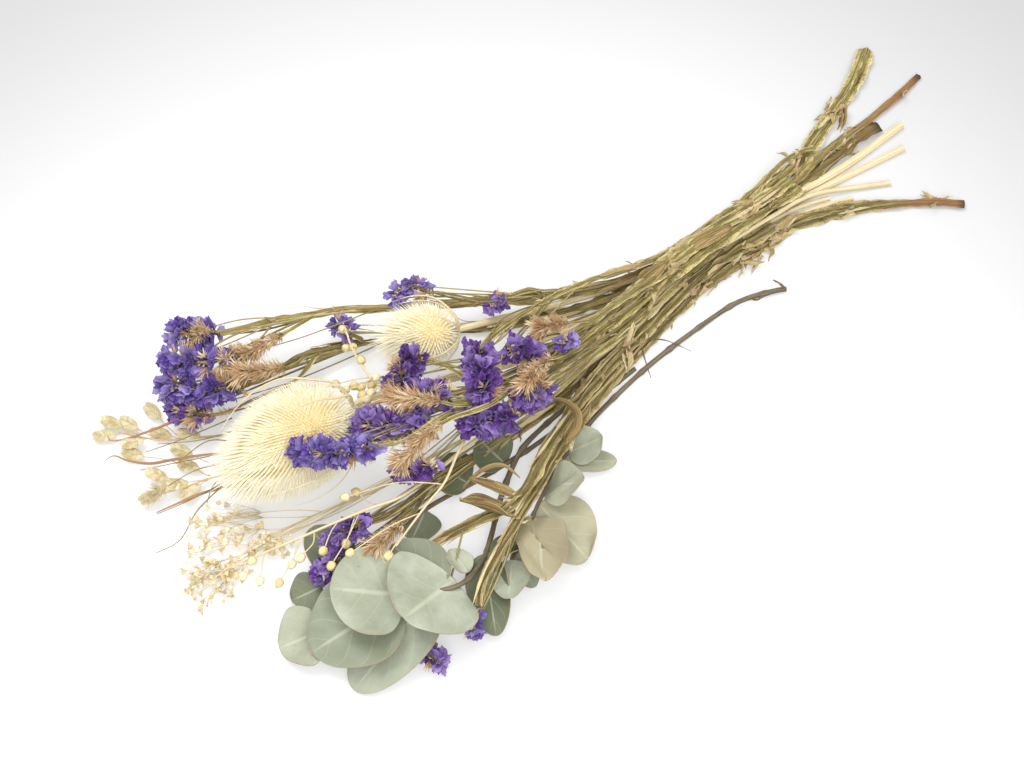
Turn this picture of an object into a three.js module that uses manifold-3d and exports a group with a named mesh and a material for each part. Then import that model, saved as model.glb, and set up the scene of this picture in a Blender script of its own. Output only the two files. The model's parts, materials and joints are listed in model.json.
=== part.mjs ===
// A bunch of dried flowers lying on a table: two teasel heads, statice, silver-dollar eucalyptus,
// flax bolls, broom bloom and quaking grass, with all their stems drawn together at a waist.
// Millimetres, +Z up, +X from the flowers to the cut stem ends. The origin is the middle of the
// footprint, on the table.
import * as THREE from "three";
import { mergeVertices } from "three/addons/utils/BufferGeometryUtils.js";
import Module from "manifold-3d";

const wasm = await Module();
wasm.setup();

// The photograph's camera: a place is [pixel across, pixel down, height above the table in mm].
const photo = {
  width: 1024, height: 768, lens: 70, sensor: 36, distance: 1285, elevation: 62, heading: 38,
};
// From the point under the photograph's middle to the middle of the footprint
const footprintMiddle = [67.0, 7.58];

// Driving sizes, in mm
const clearance = 0.35; // left between pieces that touch
const taperFrom = 0.6; // share of a stem's length where its taper starts
const strandStep = 6; // spacing of the points that settle
const nesting = 0.85; // how close flattened stems lie, as a share of their half-widths
const leastReach = 2.6; // radius at which two thin stems push apart
const grassReach = 1.6; // the same for a grass stalk, which slips in beside the others
const leafThickness = 1.1;
const leafSides = 10;
const dryLeafSides = 6;
const huskSpacing = 6.5; // between whorls
const huskSpread = 4.4;
const huskReach = 4.6; // how far a husk's tip stands ahead of its root
const floretSpacing = 7.4; // along a bloom, between rings of florets
const mouthShare = 0.58; // half-width of a floret's mouth over its length
const fineStalk = 0.6;
const bractRoom = 2.2; // between a teasel's spines and the middle of a bract beside them
const lowest = 3.4; // height of the tips that hang near the table
const tuftHeight = 10; // between the highest and the lowest of what hangs in one place

const colours = {
  teasel: 0xf1e3b4,
  paleStem: 0xe6d9ae,
  statice: 0x9a8f5a,
  bloom: 0x5c48a8,
  eucalyptus: 0xa9b49a,
  flax: 0xe9dcae,
  broom: 0xd9c489,
  grass: 0xd8c795,
};

// Main stems, each from its cut end to its head, with half-widths in mm at the two ends. A branch
// leaves its stem at a share of its length, and the last part of some is covered in whorls of husks.
const staticeStems = {
  statice_stem_1: {
    width: [5.2, 2.4],
    line: [[866, 54, 20], [850, 88, 20], [826, 122, 18], [798, 162, 16], [762, 204, 16], [712, 242, 18],
      [655, 284, 22], [600, 322, 28], [556, 346, 36], [528, 354, 44], [508, 346, 48]],
    branches: [
      { from: 0.72, width: [1.6, 1.3], whorls: 4, line: [[566, 352, 46], [545, 366, 56], [526, 384, 62]] },
    ],
  },
  statice_stem_2: {
    width: [3.6, 1.8],
    line: [[917, 84, 14], [880, 118, 14], [838, 152, 13], [795, 190, 12], [745, 226, 12], [690, 256, 14],
      [620, 282, 16], [550, 296, 20], [480, 303, 24], [400, 311, 26], [330, 317, 28], [280, 322, 33],
      [246, 328, 38], [220, 334, 41]],
    branches: [
      { from: 0.6, width: [1.6, 1.2], line: [[530, 290, 28], [505, 297, 33]] },
      { from: 0.68, width: [1.6, 1.2], line: [[460, 297, 32], [440, 293, 35], [430, 293, 36]] },
      { from: 0.88, width: [1.5, 1.2], whorls: 4, line: [[286, 334, 38], [264, 346, 40], [244, 355, 40]] },
    ],
  },
  statice_stem_3: {
    width: [4.6, 1.8],
    line: [[873, 139, 7], [845, 158, 7], [800, 196, 7], [750, 232, 8], [700, 262, 8], [640, 292, 10],
      [570, 312, 12], [500, 326, 9], [455, 334, 4], [400, 340, 4], [345, 346, 12], [310, 354, 20],
      [282, 368, 26], [258, 380, 28], [240, 384, 29]],
    branches: [
      { from: 0.82, width: [1.5, 1.2], line: [[362, 340, 14], [350, 334, 18]] },
      { from: 0.9, width: [1.5, 1.2], whorls: 4, line: [[292, 366, 36], [268, 370, 42], [242, 372, 45]] },
      { from: 0.88, width: [1.5, 1.2], line: [[296, 380, 16], [262, 396, 20], [228, 411, 21],
        [209, 415, 21]] },
    ],
  },
  statice_stem_4: {
    width: [3.0, 2.0],
    line: [[806, 147, 26], [776, 152, 27], [742, 177, 26], [702, 206, 24], [650, 240, 24], [600, 268, 27],
      [545, 300, 34], [505, 328, 44], [480, 350, 50]],
    branches: [],
  },
  statice_stem_5: {
    width: [4.4, 1.8],
    line: [[798, 205, 17], [750, 236, 20], [695, 270, 24], [640, 304, 28], [590, 338, 32], [540, 370, 36],
      [495, 392, 44], [452, 402, 50]],
    branches: [
      { from: 0.76, width: [1.6, 1.3], whorls: 5, line: [[496, 412, 50], [452, 424, 54], [425, 440, 56],
        [402, 462, 54]] },
      { from: 0.83, width: [1.6, 1.3], line: [[488, 382, 46], [450, 366, 54], [420, 358, 56]] },
      { from: 0.88, width: [1.6, 1.3], whorls: 4, line: [[462, 398, 60], [430, 396, 68], [396, 398, 66]] },
      { from: 0.86, width: [1.6, 1.3], line: [[480, 408, 44], [450, 418, 46], [426, 423, 48]] },
      { from: 0.91, width: [1.5, 1.3], line: [[444, 414, 58], [404, 440, 60], [374, 446, 57]] },
    ],
  },
  statice_stem_6: {
    width: [4.2, 2.0],
    line: [[784, 228, 12], [735, 258, 14], [675, 296, 18], [620, 336, 24], [578, 364, 34], [548, 380, 46]],
    branches: [
      { from: 0.77, width: [1.5, 1.3], line: [[560, 390, 40], [530, 410, 46], [512, 416, 47]] },
    ],
  },
  statice_stem_7: {
    width: [4.2, 1.8],
    line: [[779, 244, 6], [710, 284, 6], [650, 330, 7], [600, 370, 8], [548, 412, 8], [490, 450, 10],
      [430, 486, 14], [394, 512, 20], [368, 523, 22]],
    branches: [
      { from: 0.86, width: [1.5, 1.2], whorls: 3, line: [[412, 514, 24], [394, 530, 28], [376, 546, 28]] },
      { from: 0.91, width: [1.4, 1.2], line: [[392, 530, 12], [370, 542, 14], [346, 556, 18]] },
    ],
  },
  statice_stem_8: {
    width: [4.8, 2.2],
    line: [[961, 214, 12], [925, 216, 11], [888, 224, 9], [850, 235, 7], [805, 246, 6], [760, 264, 6],
      [715, 290, 7], [668, 322, 10], [625, 360, 14], [590, 402, 20], [564, 440, 26], [538, 480, 30],
      [514, 522, 32], [494, 556, 30], [481, 584, 25], [478, 606, 20]],
    branches: [],
  },
  statice_stem_9: {
    width: [4.2, 1.8],
    line: [[790, 198, 21], [730, 238, 26], [670, 276, 30], [615, 308, 36], [580, 330, 44], [560, 340, 50]],
    branches: [
      { from: 0.77, width: [1.4, 1.2], whorls: 3, line: [[588, 322, 46], [562, 324, 52], [540, 328, 56]] },
    ],
  },
  statice_stem_10: {
    width: [4.4, 1.8],
    line: [[776, 242, 12], [715, 280, 14], [660, 322, 18], [615, 362, 22], [578, 405, 28], [551, 446, 32],
      [528, 490, 34], [506, 510, 32], [468, 527, 28], [430, 549, 20], [418, 590, 7], [420, 650, 6]],
    branches: [],
  },
};

// Dry leaves that are left on two of the statice stems
const dryLeaves = {
  statice_stem_8: [
    { from: [516, 510, 32], lift: 0, tip: [461, 498, 34], width: 16, roll: 30, cup: 5 },
    { from: [566, 436, 26], lift: 0, tip: [590, 406, 40], width: 8, roll: 20, cup: 3 },
  ],
  statice_stem_10: [{ from: [524, 494, 34], lift: 0, tip: [470, 478, 40], width: 7, roll: -20, cup: 3 }],
  statice_stem_1: [{ from: [640, 294, 24], lift: 0, tip: [668, 262, 34], width: 9, roll: 0, cup: 2 }],
  statice_stem_9: [{ from: [700, 256, 28], lift: 0, tip: [732, 226, 36], width: 8, roll: 0, cup: 2 }],
};

const paleStems = {
  teasel_stem_large: {
    width: [2.8, 2.4],
    line: [[901, 125, 10], [830, 180, 10], [770, 220, 10], [715, 254, 10], [660, 288, 10], [590, 326, 10],
      [520, 360, 12], [460, 376, 18], [400, 388, 28], [366, 398, 34], [344, 411, 37]],
  },
  teasel_stem_small: {
    width: [2.4, 2.2],
    line: [[903, 148, 6], [850, 178, 6], [790, 215, 6], [730, 246, 6], [680, 268, 6], [620, 286, 8],
      [550, 306, 14], [495, 320, 22], [452, 331, 28]],
  },
  flax_spray_1: {
    width: [1.9, 1.1],
    line: [[858, 204, 4], [800, 228, 6], [750, 254, 8], [700, 288, 10], [640, 332, 14], [570, 378, 20],
      [515, 412, 28], [468, 445, 36], [440, 468, 38], [402, 496, 39], [372, 508, 38], [330, 526, 34],
      [266, 552, 20], [228, 568, 11], [206, 586, 6]],
  },
  flax_spray_2: {
    width: [1.9, 1.1],
    line: [[890, 183, 8], [820, 208, 12], [755, 243, 16], [700, 272, 20], [640, 308, 26], [570, 354, 32],
      [510, 398, 38], [470, 432, 46], [447, 478, 52], [430, 500, 52], [412, 524, 48], [396, 546, 42]],
  },
  flax_spray_3: {
    width: [1.8, 1.1],
    line: [[812, 205, 14], [760, 230, 16], [700, 262, 18], [640, 296, 20], [560, 334, 22], [500, 358, 22],
      [440, 378, 26], [405, 390, 30], [380, 388, 33], [364, 370, 33], [352, 348, 31], [345, 328, 29]],
  },
  broom_spray_1: {
    width: [1.7, 1.0],
    line: [[835, 205, 10], [780, 236, 12], [720, 270, 12], [660, 310, 12], [600, 352, 10], [540, 395, 10],
      [480, 430, 12], [430, 458, 12], [385, 486, 12], [340, 505, 12], [300, 522, 11], [255, 545, 9],
      [222, 572, 6]],
  },
  grass_spray_1: {
    width: [1.5, 0.9],
    line: [[622, 300, 3], [570, 325, 3], [500, 355, 3],
      [430, 385, 3], [360, 408, 3], [300, 425, 3], [250, 432, 3], [205, 437, 6], [160, 440, 8],
      [118, 432, 6]],
  },
  grass_spray_2: {
    width: [1.5, 0.9],
    line: [[616, 330, 3], [570, 349, 3], [500, 378, 3], [430, 405, 3], [360, 432, 3], [300, 452, 3],
      [250, 466, 3], [210, 478, 6], [176, 490, 8], [150, 496, 7]],
  },
};

const eucalyptusBranches = {
  eucalyptus_branch_1: {
    width: [2.1, 1.3],
    line: [[786, 289, 8], [770, 292, 8], [738, 302, 6], [702, 325, 5], [650, 364, 4], [605, 406, 4],
      [575, 440, 5], [556, 470, 8], [540, 500, 10], [527, 530, 10], [512, 560, 12]],
  },
  eucalyptus_branch_2: {
    width: [2.2, 1.3],
    line: [[700, 292, 3], [640, 342, 3], [590, 386, 3], [545, 430, 4], [518, 465, 8], [500, 505, 12],
      [492, 535, 16], [482, 562, 22], [463, 583, 28], [436, 591, 28], [403, 590, 25], [372, 600, 21],
      [345, 613, 16], [322, 630, 10]],
  },
  eucalyptus_branch_3: {
    width: [1.9, 1.2],
    line: [[640, 372, 3], [580, 412, 3], [530, 446, 3], [480, 478, 4], [430, 506, 4], [385, 538, 6],
      [345, 566, 8], [322, 586, 8]],
  },
};

// Eucalyptus leaves: where each leaves its branch and how far above its middle, its tip, its width in
// mm, roll in degrees and cupping in mm
const leaves = {
  eucalyptus_branch_1: [
    { from: [567, 450, 6], lift: 0.8, tip: [602, 437, 18], width: 24, roll: 5, cup: 2 },
    { from: [562, 458, 6], lift: -0.8, tip: [617, 461, 3], width: 20, roll: -5, cup: 1 },
    { from: [546, 488, 9], lift: 0.8, tip: [583, 480, 30], width: 24, roll: -25, cup: 2 },
    { from: [540, 502, 10], lift: 0, tip: [587, 558, 12], width: 44, roll: 10, cup: 4 },
    { from: [533, 516, 10], lift: 0.8, tip: [546, 578, 36], width: 26, roll: -30, cup: 5 },
    { from: [512, 560, 12], lift: 0, tip: [508, 598, 22], width: 24, roll: 5, cup: 2 },
    { from: [519, 546, 11], lift: -0.8, tip: [533, 588, 3], width: 18, roll: 0, cup: 2 },
    { from: [522, 540, 10], lift: 0, tip: [492, 556, 16], width: 20, roll: 20, cup: 3 },
  ],
  eucalyptus_branch_2: [
    { from: [463, 583, 28], lift: 0.9, tip: [404, 617, 40], width: 64, roll: 0, cup: 4 },
    { from: [403, 590, 26], lift: 0.8, tip: [330, 588, 34], width: 60, roll: 0, cup: 3 },
    { from: [396, 591, 24], lift: -0.7, tip: [312, 652, 15], width: 58, roll: 0, cup: 3 },
    { from: [325, 628, 10], lift: 0, tip: [279, 648, 5], width: 40, roll: 5, cup: 3 },
    { from: [436, 591, 28], lift: -0.9, tip: [354, 690, 3], width: 44, roll: 0, cup: 2 },
    { from: [450, 588, 28], lift: -0.8, tip: [392, 545, 20], width: 36, roll: 0, cup: 2 },
    { from: [474, 572, 25], lift: 0, tip: [450, 549, 20], width: 16, roll: 20, cup: 2 },
    { from: [487, 550, 19], lift: 0, tip: [496, 636, 8], width: 27, roll: 10, cup: 4 },
  ],
  eucalyptus_branch_3: [
    { from: [345, 566, 8], lift: 0.7, tip: [310, 528, 14], width: 32, roll: 10, cup: 3 },
    { from: [425, 510, 4], lift: 0, tip: [412, 540, 3], width: 28, roll: 0, cup: 2 },
    { from: [470, 484, 4], lift: 0.7, tip: [436, 462, 12], width: 32, roll: 5, cup: 2 },
    { from: [505, 462, 4], lift: 0.7, tip: [478, 438, 12], width: 32, roll: 5, cup: 2 },
    { from: [322, 586, 8], lift: 0, tip: [292, 600, 8], width: 26, roll: 0, cup: 2 },
  ],
};

// Statice blooms: the line that their florets stand on, core radius and floret length in mm
const blooms = {
  statice_bloom_1: {
    stem: "statice_stem_2", core: 4.4, floret: 8.4,
    line: [[216, 332, 41], [182, 334, 38]],
  },
  statice_bloom_2: {
    stem: "statice_stem_2", core: 4.4, floret: 8,
    line: [[240, 358, 41], [206, 362, 44], [174, 361, 41]],
  },
  statice_bloom_3: {
    stem: "statice_stem_3", core: 4.4, floret: 8,
    line: [[236, 386, 29], [204, 391, 33], [170, 387, 30]],
  },
  statice_bloom_4: {
    stem: "statice_stem_5", core: 4.6, floret: 8.5,
    line: [[420, 356, 56], [408, 364, 58], [398, 382, 56]],
  },
  statice_bloom_5: {
    stem: "statice_stem_5", core: 4.4, floret: 8.5,
    line: [[450, 398, 53], [424, 396, 57]],
  },
  statice_bloom_6: {
    stem: "statice_stem_5", core: 4.4, floret: 9,
    line: [[428, 424, 48], [400, 425, 50], [368, 425, 50]],
  },
  statice_bloom_7: {
    stem: "statice_stem_5", core: 3.8, floret: 8,
    line: [[374, 446, 56], [338, 453, 62], [304, 452, 62]],
  },
  statice_bloom_8: {
    stem: "statice_stem_5", core: 3.4, floret: 6.5,
    line: [[434, 468, 46], [402, 472, 46]],
  },
  statice_bloom_9: {
    stem: "statice_stem_4", core: 4.8, floret: 9.2,
    line: [[478, 350, 51], [481, 369, 54], [484, 388, 54]],
  },
  statice_bloom_10: {
    stem: "statice_stem_1", core: 4.4, floret: 8.5,
    line: [[506, 344, 49], [532, 358, 50]],
  },
  statice_bloom_11: {
    stem: "statice_stem_6", core: 4.6, floret: 9,
    line: [[546, 380, 48], [528, 396, 52]],
  },
  statice_bloom_12: {
    stem: "statice_stem_6", core: 4.6, floret: 9,
    line: [[514, 416, 47], [476, 423, 46]],
  },
  statice_bloom_13: {
    stem: "statice_stem_9", core: 2.6, floret: 6,
    line: [[558, 341, 52], [568, 340, 54]],
  },
  statice_bloom_14: {
    stem: "statice_stem_2", core: 3, floret: 6,
    line: [[430, 293, 37], [410, 285, 39], [396, 296, 36]],
  },
  statice_bloom_15: {
    stem: "statice_stem_3", core: 3.4, floret: 6.5,
    line: [[352, 334, 20], [340, 326, 22]],
  },
  statice_bloom_16: {
    stem: "statice_stem_7", core: 3.4, floret: 7,
    line: [[368, 523, 22], [352, 528, 24], [334, 541, 24]],
  },
  statice_bloom_17: {
    stem: "statice_stem_7", core: 3.2, floret: 7,
    line: [[346, 556, 18], [322, 572, 16]],
  },
  statice_bloom_18: { stem: "statice_stem_10", line: [[420, 652, 7], [438, 660, 7]], core: 3, floret: 6.5 },
  statice_bloom_19: {
    stem: "statice_stem_8", core: 2.6, floret: 5.5,
    line: [[477, 608, 19], [475, 630, 14]],
  },
  statice_bloom_20: {
    stem: "statice_stem_2", core: 3, floret: 5.5,
    line: [[506, 297, 33], [494, 305, 33]],
  },
  statice_bloom_21: {
    stem: "statice_stem_3", core: 4, floret: 7.6,
    line: [[204, 415, 21], [180, 410, 17]],
  },
};

// Teasel heads: core length and radius, spine lengths at the side and at the tip
const teasels = {
  teasel_head_large: {
    stem: "teasel_stem_large", base: [344, 411, 37], tip: [231, 477, 37],
    radius: 29, side: 6.5, point: 15, detail: 4,
  },
  teasel_head_small: {
    stem: "teasel_stem_small", base: [453, 332, 28], tip: [388, 336, 28],
    radius: 16.5, side: 5, point: 15, detail: 3,
  },
};

// What hangs on each spray: places in the photograph, how far back its stalk leaves the spray as a
// share of its reach, and its body's length and rows of [share of the body, half-width]
const boll = { lead: 0.9, body: 5.6, profile: [[0, 0.6], [0.5, 2.8], [1, 0.7]], sides: 5 };
const cream = { lead: 1.6, body: 4.4, profile: [[0, 0.5], [0.6, 2.1], [1, 0.5]], sides: 3 };
const spikelet = { lead: 1.2, body: 13, profile: [[0, 0.6], [0.45, 4.2], [1, 0.7]], sides: 5, flat: 0.5 };
const hangers = {
  flax_spray_1: {
    ...boll,
    places: [
      [346, 544], [323, 551], [331, 566], [301, 558], [292, 564], [279, 583], [260, 581],
      [243, 576], [356, 492], [252, 561],
    ],
  },
  flax_spray_2: {
    ...boll,
    places: [
      [350, 553], [388, 556], [345, 497],
    ],
  },
  flax_spray_3: {
    ...boll,
    places: [
      [342, 329], [346, 348], [353, 347], [361, 360], [376, 378], [361, 387], [372, 385],
      [362, 395], [371, 393], [367, 400], [345, 390], [335, 384], [354, 386],
    ],
  },
  broom_spray_1: {
    ...cream,
    places: [
      [221, 513], [231, 519], [207, 525], [223, 535], [242, 530], [264, 536], [278, 544],
      [199, 549], [213, 561], [199, 569], [230, 567], [214, 577], [197, 588], [207, 600],
      [228, 582], [242, 574], [257, 552],
    ],
  },
  grass_spray_1: {
    ...spikelet,
    places: [
      [153, 412], [129, 424], [112, 423], [133, 442], [161, 434], [189, 434], [105, 436],
    ],
  },
  grass_spray_2: {
    ...spikelet,
    places: [
      [133, 454], [189, 466], [182, 451], [157, 475], [177, 484], [151, 497], [191, 491],
    ],
  },
};

// Settling: how stems that cross or crowd each other come to lie side by side. They fall along the line
// of sight, and are drawn in at the waist, but for one twig that lies outside it.
const settling = {
  rounds: 160, gap: 0.5, drop: 0.22, draw: 0.03,
  waist: [735, 232], waistReach: 90, outside: "eucalyptus_branch_1",
};

const up = new THREE.Vector3(0, 0, 1);

function place([across, down, height]) {
  const focal = (photo.width * photo.lens) / photo.sensor;
  const tilt = THREE.MathUtils.degToRad(photo.elevation);
  const turn = THREE.MathUtils.degToRad(photo.heading);
  const right = (across - photo.width / 2) / focal;
  const below = (down - photo.height / 2) / focal;
  const reach = (photo.distance * Math.sin(tilt) - height) / (Math.sin(tilt) + below * Math.cos(tilt));
  const x = reach * right;
  const y = reach * (Math.cos(tilt) - below * Math.sin(tilt)) - photo.distance * Math.cos(tilt);
  return new THREE.Vector3(
    x * Math.cos(turn) + y * Math.sin(turn) - footprintMiddle[0],
    y * Math.cos(turn) - x * Math.sin(turn) - footprintMiddle[1],
    height,
  );
}

// Where the photograph was taken from
function viewpoint() {
  const tilt = THREE.MathUtils.degToRad(photo.elevation);
  const turn = THREE.MathUtils.degToRad(photo.heading);
  const back = photo.distance * Math.cos(tilt);
  return new THREE.Vector3(
    -back * Math.sin(turn) - footprintMiddle[0],
    -back * Math.cos(turn) - footprintMiddle[1],
    photo.distance * Math.sin(tilt),
  );
}

// A small seeded generator, so that every build draws the same numbers
function dice(seed) {
  let state = seed >>> 0;
  return () => {
    state = (Math.imul(state, 1664525) + 1013904223) >>> 0;
    return state / 4294967296;
  };
}

// Evenly spaced points on a smooth curve through the given ones
function smoothLine(points, step) {
  const fine = [];
  const at = (i) => points[Math.max(0, Math.min(points.length - 1, i))];
  for (let i = 0; i < points.length - 1; i++)
    for (let k = 0; k < 24; k++) {
      const t = k / 24;
      const sum = new THREE.Vector3();
      const weights = [
        -0.5 * t + t * t - 0.5 * t * t * t,
        1 - 2.5 * t * t + 1.5 * t * t * t,
        0.5 * t + 2 * t * t - 1.5 * t * t * t,
        -0.5 * t * t + 0.5 * t * t * t,
      ];
      weights.forEach((w, n) => sum.addScaledVector(at(i + n - 1), w));
      fine.push(sum);
    }
  fine.push(points[points.length - 1].clone());
  const run = [0];
  for (let i = 1; i < fine.length; i++) run.push(run[i - 1] + fine[i].distanceTo(fine[i - 1]));
  const total = run[run.length - 1];
  const count = Math.max(3, Math.round(total / step));
  const out = [];
  for (let n = 0, i = 0; n <= count; n++) {
    const want = (total * n) / count;
    while (i < run.length - 2 && run[i + 1] < want) i++;
    const share = (want - run[i]) / Math.max(1e-9, run[i + 1] - run[i]);
    out.push(fine[i].clone().lerp(fine[i + 1], Math.min(1, Math.max(0, share))));
  }
  return out;
}

const pointAt = (line, t) => {
  const x = Math.max(0, Math.min(1, t)) * (line.length - 1);
  const i = Math.min(line.length - 2, Math.floor(x));
  return line[i].clone().lerp(line[i + 1], x - i);
};

// A stem keeps its width for most of its length and then tapers to its tip
const widthAt = ([start, end], t) => start + (end - start) * Math.max(0, (t - taperFrom) / (1 - taperFrom));

// Settling the strands

function makeStrands() {
  const strands = [];
  const add = (plant, width, line, parent = -1, joint = 0, extra = {}) => {
    const points = smoothLine(line, strandStep);
    strands.push({ plant, width, points, parent, joint, home: points.map((p) => p.clone()), ...extra });
    return strands.length - 1;
  };
  for (const [name, stem] of Object.entries(staticeStems)) {
    const main = add(name, stem.width, stem.line.map(place));
    for (const branch of stem.branches) {
      const start = pointAt(strands[main].points, branch.from);
      add(name, branch.width, [start, ...branch.line.map(place)], main, branch.from, {
        whorls: branch.whorls ?? 0,
      });
    }
  }
  for (const [name, stem] of Object.entries({ ...paleStems, ...eucalyptusBranches }))
    add(name, stem.width, stem.line.map(place));
  return strands;
}

function makeObstacles() {
  const found = [];
  const add = (plant, line, radius) =>
    smoothLine(line, radius).forEach((at) => found.push({ plant, at, radius }));
  for (const bloom of Object.values(blooms))
    add(bloom.stem, bloom.line.map(place), bloom.core + 0.55 * bloom.floret);
  for (const head of Object.values(teasels)) {
    const base = place(head.base);
    const tip = place(head.tip);
    for (let n = 0; n <= 8; n++) {
      const t = n / 8;
      found.push({
        plant: head.stem,
        at: base.clone().lerp(tip, t),
        radius: teaselRadius(head, t) + head.side * 0.9,
      });
    }
  }
  return found;
}

function settle(strands, obstacles) {
  const xs = [], ys = [], zs = [], rs = [], plants = [], free = [], fall = [], draw = [];
  const names = [];
  const plantIndex = (name) => (names.includes(name) ? names.indexOf(name) : names.push(name) - 1);
  for (const s of strands) {
    s.first = xs.length;
    const last = s.points.length - 1;
    const least = s.plant.startsWith("grass") ? grassReach : leastReach;
    s.points.forEach((p, k) => {
      xs.push(p.x);
      ys.push(p.y);
      zs.push(p.z);
      rs.push(Math.max(least, nesting * widthAt(s.width, k / last)));
      plants.push(plantIndex(s.plant));
      free.push(k === last ? 0 : k > last - 3 ? 0.3 : 1);
      fall.push(s.parent < 0 ? settling.drop * (1 - k / last) : 0);
      draw.push(s.plant === settling.outside ? 0 : settling.draw);
    });
  }
  const strandEnd = xs.length;
  for (const o of obstacles) {
    xs.push(o.at.x);
    ys.push(o.at.y);
    zs.push(o.at.z);
    rs.push(o.radius);
    plants.push(plantIndex(o.plant));
    free.push(0);
  }
  const n = xs.length;
  const waist = place([...settling.waist, 10]);
  const eye = viewpoint();
  const push = [new Float64Array(n), new Float64Array(n), new Float64Array(n)];
  for (let round = 0; round < settling.rounds; round++) {
    const early = round < settling.rounds * 0.6;
    push.forEach((p) => p.fill(0));
    for (let i = 0; i < strandEnd; i++)
      for (let j = i + 1; j < n; j++) {
        if (plants[i] === plants[j]) continue;
        const reach = rs[i] + rs[j] + settling.gap;
        const dx = xs[i] - xs[j], dy = ys[i] - ys[j], dz = zs[i] - zs[j];
        if (Math.abs(dx) > reach || Math.abs(dy) > reach || Math.abs(dz) > reach) continue;
        const d2 = dx * dx + dy * dy + dz * dz;
        if (d2 >= reach * reach) continue;
        const d = Math.sqrt(d2) + 1e-6;
        const total = free[i] + free[j];
        if (total === 0) continue;
        const amount = (0.8 * (reach - d)) / (d * total);
        push[0][i] += dx * amount * free[i];
        push[1][i] += dy * amount * free[i];
        push[2][i] += dz * amount * free[i];
        push[0][j] -= dx * amount * free[j];
        push[1][j] -= dy * amount * free[j];
        push[2][j] -= dz * amount * free[j];
      }
    for (let i = 0; i < strandEnd; i++) {
      const most = 1.5;
      const size = Math.hypot(push[0][i], push[1][i], push[2][i]);
      const cut = size > most ? most / size : 1;
      xs[i] += push[0][i] * cut;
      ys[i] += push[1][i] * cut;
      zs[i] += push[2][i] * cut;
      if (early) {
        const share = Math.min(fall[i], Math.max(0, zs[i] - 2)) / (eye.z - zs[i]);
        xs[i] += (xs[i] - eye.x) * share;
        ys[i] += (ys[i] - eye.y) * share;
        zs[i] += (zs[i] - eye.z) * share;
        const near = 1 - Math.abs(xs[i] - waist.x) / settling.waistReach;
        if (near > 0) ys[i] += (waist.y - ys[i]) * draw[i] * near * free[i];
      }
    }
    const ease = early ? 0.5 : 0.2;
    for (const s of strands) {
      const last = s.points.length - 1;
      const move = s.home.map((h, k) => [
        xs[s.first + k] - h.x, ys[s.first + k] - h.y, zs[s.first + k] - h.z,
      ]);
      for (let k = 1; k < last; k++) {
        const i = s.first + k;
        xs[i] += ease * ((move[k - 1][0] + move[k + 1][0]) / 2 - move[k][0]);
        ys[i] += ease * ((move[k - 1][1] + move[k + 1][1]) / 2 - move[k][1]);
        zs[i] += ease * ((move[k - 1][2] + move[k + 1][2]) / 2 - move[k][2]);
      }
      for (let k = 0; k <= last; k++) {
        const i = s.first + k;
        zs[i] = Math.max(zs[i], widthAt(s.width, k / last) * 0.62);
      }
      if (s.parent >= 0) {
        const p = strands[s.parent];
        const x = s.joint * (p.points.length - 1);
        const k = Math.min(p.points.length - 2, Math.floor(x));
        const f = x - k;
        const a = p.first + k;
        xs[s.first] = xs[a] + f * (xs[a + 1] - xs[a]);
        ys[s.first] = ys[a] + f * (ys[a + 1] - ys[a]);
        zs[s.first] = zs[a] + f * (zs[a + 1] - zs[a]);
      }
    }
  }
  for (const s of strands)
    s.points.forEach((p, k) => p.set(xs[s.first + k], ys[s.first + k], zs[s.first + k]));
}

// Solids

function solid(geometry) {
  const bare = geometry.clone();
  bare.deleteAttribute("normal");
  bare.deleteAttribute("uv");
  const merged = mergeVertices(bare, 1e-3);
  return new wasm.Manifold(
    new wasm.Mesh({
      numProp: 3,
      vertProperties: new Float32Array(merged.getAttribute("position").array),
      triVerts: new Uint32Array(merged.index.array),
    }),
  );
}

function largestBody(made) {
  const bodies = made.decompose();
  return bodies.reduce((best, b) => (b.volume() > best.volume() ? b : best), bodies[0]);
}

// Applies a rule to each vertex of a geometry
function shape(geometry, rule) {
  const position = geometry.getAttribute("position");
  const v = new THREE.Vector3();
  for (let i = 0; i < position.count; i++) {
    v.fromBufferAttribute(position, i);
    rule(v);
    position.setXYZ(i, v.x, v.y, v.z);
  }
  return geometry;
}

// Frames at some shares of a line, turned as little as possible from one to the next
function framesAt(line, shares) {
  const frames = [];
  shares.forEach((t, n) => {
    const at = pointAt(line, t);
    const before = pointAt(line, t - 0.04);
    const along = pointAt(line, t + 0.04).sub(before).normalize();
    const side = n ? frames[n - 1].side.clone() : new THREE.Vector3().crossVectors(along, up);
    if (side.lengthSq() < 1e-4) side.set(1, 0, 0);
    side.addScaledVector(along, -side.dot(along)).normalize();
    frames.push({ at, along, side, lift: new THREE.Vector3().crossVectors(side, along) });
  });
  return frames;
}

const framesAlong = (line, steps) => framesAt(line, Array.from({ length: steps + 1 }, (_, n) => n / steps));

// A stem: a cylinder bent along a line, with its ribs and its flatness
function tube(line, width, { sides = 5, steps = 12, rib = 1, flat = 1 } = {}, grow = 0) {
  const frames = framesAlong(line, steps);
  const g = new THREE.CylinderGeometry(1, 1, 1, sides, steps);
  return solid(
    shape(g, (v) => {
      const row = Math.round((v.y + 0.5) * steps);
      const f = frames[row];
      const corner = Math.round((Math.atan2(v.x, v.z) / (2 * Math.PI)) * sides + 2 * sides) % 2;
      const r = widthAt(width, row / steps) * (corner ? rib : 1) + grow;
      const end = row === 0 ? -grow : row === steps ? grow : 0;
      const across = v.x;
      const over = v.z;
      v.copy(f.at).addScaledVector(f.along, end);
      v.addScaledVector(f.side, across * r).addScaledVector(f.lift, over * (r * flat + grow * (1 - flat)));
    }),
  );
}

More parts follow.
